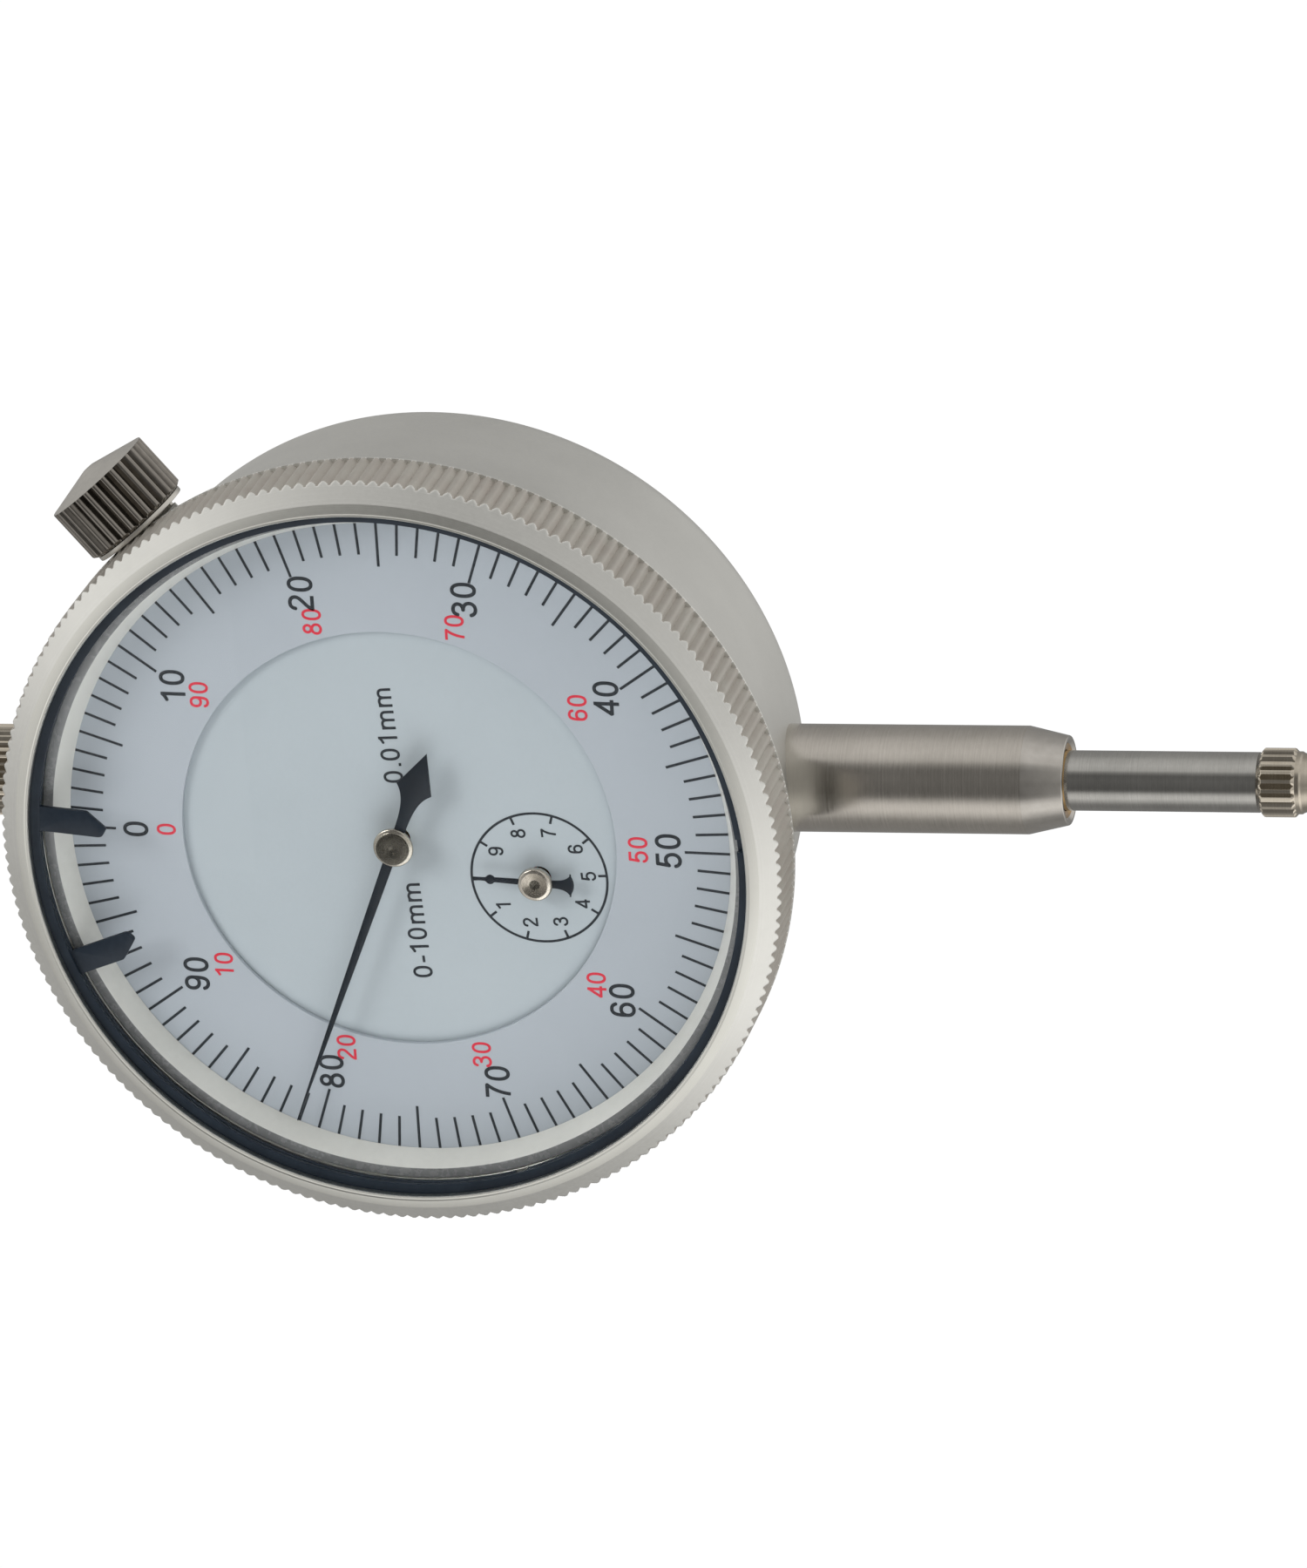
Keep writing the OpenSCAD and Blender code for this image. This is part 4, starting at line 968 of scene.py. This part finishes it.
# ------------------------------------------------------------------ carried-over nodes
CARRIED = {
    "upper_bush": "bronze", "front_plate": "brass", "front_plate_screws": "screw_steel", "pillars": "gear_brass", "rear_plate": "brass",
    "pillar_screws": "screw_steel", "bridge": "brass", "bridge_posts": "gear_brass", "bridge_screws": "screw_steel", "pivot_bushes": "ruby",
    "hairspring": "spring_steel", "hairspring_stud": "gear_brass", "guide_rail": "brass", "guide_rail_screws": "screw_steel",
    "return_spring": "spring_steel", "spring_post": "arbor_steel", "bezel_retaining_wire": "spring_steel", "spindle": "polished_steel",
    "guide_pin": "arbor_steel", "centre_pinion": "gear_brass", "rack_pinion": "arbor_steel", "drive_gear": "gear_brass",
    "takeup_arbor": "arbor_steel", "takeup_gear": "gear_brass", "takeup_collet": "gear_brass",
}
for node, mat in CARRIED.items():
    o = NODES[node]
    for s in o.material_slots:
        s.material = M[mat]
    if not o.material_slots:
        o.data.materials.append(M[mat])

# ------------------------------------------------------------------ stage
floor_v, floor_f = brick(-9, 9, -9, 9, -0.9, -0.88)
floor = build("studio_floor", floor_v, floor_f, Matrix.Identity(4), None)
fm, fnt, fp = fresh("floor_paper")
fnt.links.new(mix_color(fnt, remap(fnt, noise(fnt, coords(fnt), 3.0, 3.0), 0.3, 0.7, 0, 1), lin(236, 236, 235), lin(242, 242, 241)), fp.inputs["Base Color"])
fp.inputs["Roughness"].default_value = 0.9
fp.inputs["Emission Color"].default_value = (1, 1, 1, 1)
fp.inputs["Emission Strength"].default_value = 0.3
floor.data.materials.append(fm)
floor.visible_glossy = False

cam_data = bpy.data.cameras.new("camera")
cam = bpy.data.objects.new("camera", cam_data)
scene.collection.objects.link(cam)
R = ((-0.08471, 0.22410, -0.97088), (-0.91961, -0.39270, -0.01041), (-0.38359, 0.89194, 0.23935))
mw = Matrix.Identity(4)
for k in range(3):
    mw[k][0], mw[k][1], mw[k][2] = R[0][k], -R[1][k], -R[2][k]
loc = (0.22810, -0.53189, -0.12246)
for k in range(3):
    mw[k][3] = loc[k]
cam.matrix_world = mw
cam_data.sensor_fit = "AUTO"
cam_data.sensor_width = 36.0
cam_data.lens = 9211 / 1800 * 36
cam_data.clip_start, cam_data.clip_end = 0.02, 60
scene.camera = cam


def area(name, where, target, size, power, colour=(1, 1, 1), size_y=None):
    d = bpy.data.lights.new(name, "AREA")
    d.shape = "RECTANGLE"
    d.size, d.size_y = size, size_y or size
    d.energy, d.color = power, colour
    o = bpy.data.objects.new(name, d)
    o.location = where
    o.rotation_mode = "QUATERNION"
    o.rotation_quaternion = (Vector(target) - Vector(where)).to_track_quat("-Z", "Y")
    scene.collection.objects.link(o)
    return o


CENTRE = (0, -0.01, 0.03)
for o in (area("key", (0.55, -0.75, 0.75), CENTRE, 0.45, 4.5, (1.0, 0.985, 0.965)),
          area("fill", (-0.75, -0.8, -0.15), CENTRE, 0.9, 3.0, (0.97, 0.985, 1.0)),
          area("rim", (0.1, 0.85, 0.6), CENTRE, 0.8, 2.0)):
    o.visible_glossy = False

# a soft studio round the object: bands of light and shade by direction
world = bpy.data.worlds.new("studio")
scene.world = world
world.use_nodes = True
wn = world.node_tree
wn.nodes.clear()
tc = wn.nodes.new("ShaderNodeTexCoord")
sp = wn.nodes.new("ShaderNodeSeparateXYZ")
wn.links.new(tc.outputs["Generated"], sp.inputs[0])
# azimuth about Z from the direction of the reader's eye, positive towards +X
cx, cy = 0.394, -0.919
along = math_node(wn, "ADD", math_node(wn, "MULTIPLY", sp.outputs[0], cx), math_node(wn, "MULTIPLY", sp.outputs[1], cy))
aside = math_node(wn, "ADD", math_node(wn, "MULTIPLY", sp.outputs[0], -cy), math_node(wn, "MULTIPLY", sp.outputs[1], cx))
ang = math_node(wn, "ARCTAN2", aside, along)
pos = math_node(wn, "ADD", math_node(wn, "MULTIPLY", ang, 1 / (2 * math.pi)), 0.5)


def bands(stops):
    """Light and shade round the horizon, as (degrees, value) stops."""
    r = wn.nodes.new("ShaderNodeValToRGB")
    wn.links.new(pos, r.inputs[0])
    els = r.color_ramp.elements
    while len(els) > 1:
        els.remove(els[-1])
    els[0].position = 0.0
    els[0].color = (stops[0][1],) * 3 + (1,)
    for deg, v in stops[1:]:
        e = els.new(deg / 360 + 0.5)
        e.color = (v, v, v, 1)
    return r.outputs[0]


def blend(fac, a, b):
    n = wn.nodes.new("ShaderNodeMix")
    n.data_type = "RGBA"
    wn.links.new(fac, n.inputs["Factor"])
    wn.links.new(a, n.inputs["A"])
    wn.links.new(b, n.inputs["B"])
    return n.outputs["Result"]


LEVEL = [(-180, 0.27), (-150, 0.28), (-128, 0.30), (-112, 0.30), (-98, 0.38), (-86, 0.66), (-72, 0.98), (-58, 0.90), (-49, 0.60), (-41, 0.25), (-33, 0.16), (0, 0.20),
         (20, 0.18), (30, 0.34), (40, 0.70), (60, 0.78), (85, 0.66), (105, 0.48), (125, 0.40), (150, 0.32), (180, 0.27)]
ABOVE = [(-180, 0.42), (-140, 0.45), (-115, 0.30), (-95, 0.28), (-78, 0.40), (-45, 0.66), (-10, 1.00), (35, 1.20), (70, 0.86), (110, 0.66), (150, 0.52), (180, 0.42)]
BELOW = [(-180, 0.46), (-125, 0.66), (-95, 1.30), (-65, 1.20), (-35, 0.66), (-10, 0.48), (20, 0.72), (60, 0.72), (110, 0.82), (150, 0.95), (180, 0.52)]
lp = wn.nodes.new("ShaderNodeLightPath")
bg = wn.nodes.new("ShaderNodeBackground")
white = wn.nodes.new("ShaderNodeBackground")
white.inputs["Color"].default_value = (1, 1, 1, 1)
white.inputs["Strength"].default_value = 1.02
dome = blend(remap(wn, sp.outputs[2], 0.35, 0.85, 0.0, 1.0), bands(LEVEL), bands(ABOVE))
dome = blend(remap(wn, sp.outputs[2], -0.6, -0.18, 1.0, 0.0), dome, bands(BELOW))
tint = wn.nodes.new("ShaderNodeMix")
tint.data_type, tint.blend_type = "RGBA", "MULTIPLY"
tint.inputs["Factor"].default_value = 1.0
wn.links.new(dome, tint.inputs["A"])
tint.inputs["B"].default_value = (1.0, 0.985, 0.965, 1)
wn.links.new(tint.outputs["Result"], bg.inputs["Color"])
bg.inputs["Strength"].default_value = 1.0
mx = wn.nodes.new("ShaderNodeMixShader")
out = wn.nodes.new("ShaderNodeOutputWorld")
wn.links.new(lp.outputs["Is Camera Ray"], mx.inputs[0])
wn.links.new(bg.outputs[0], mx.inputs[1])
wn.links.new(white.outputs[0], mx.inputs[2])
wn.links.new(mx.outputs[0], out.inputs["Surface"])
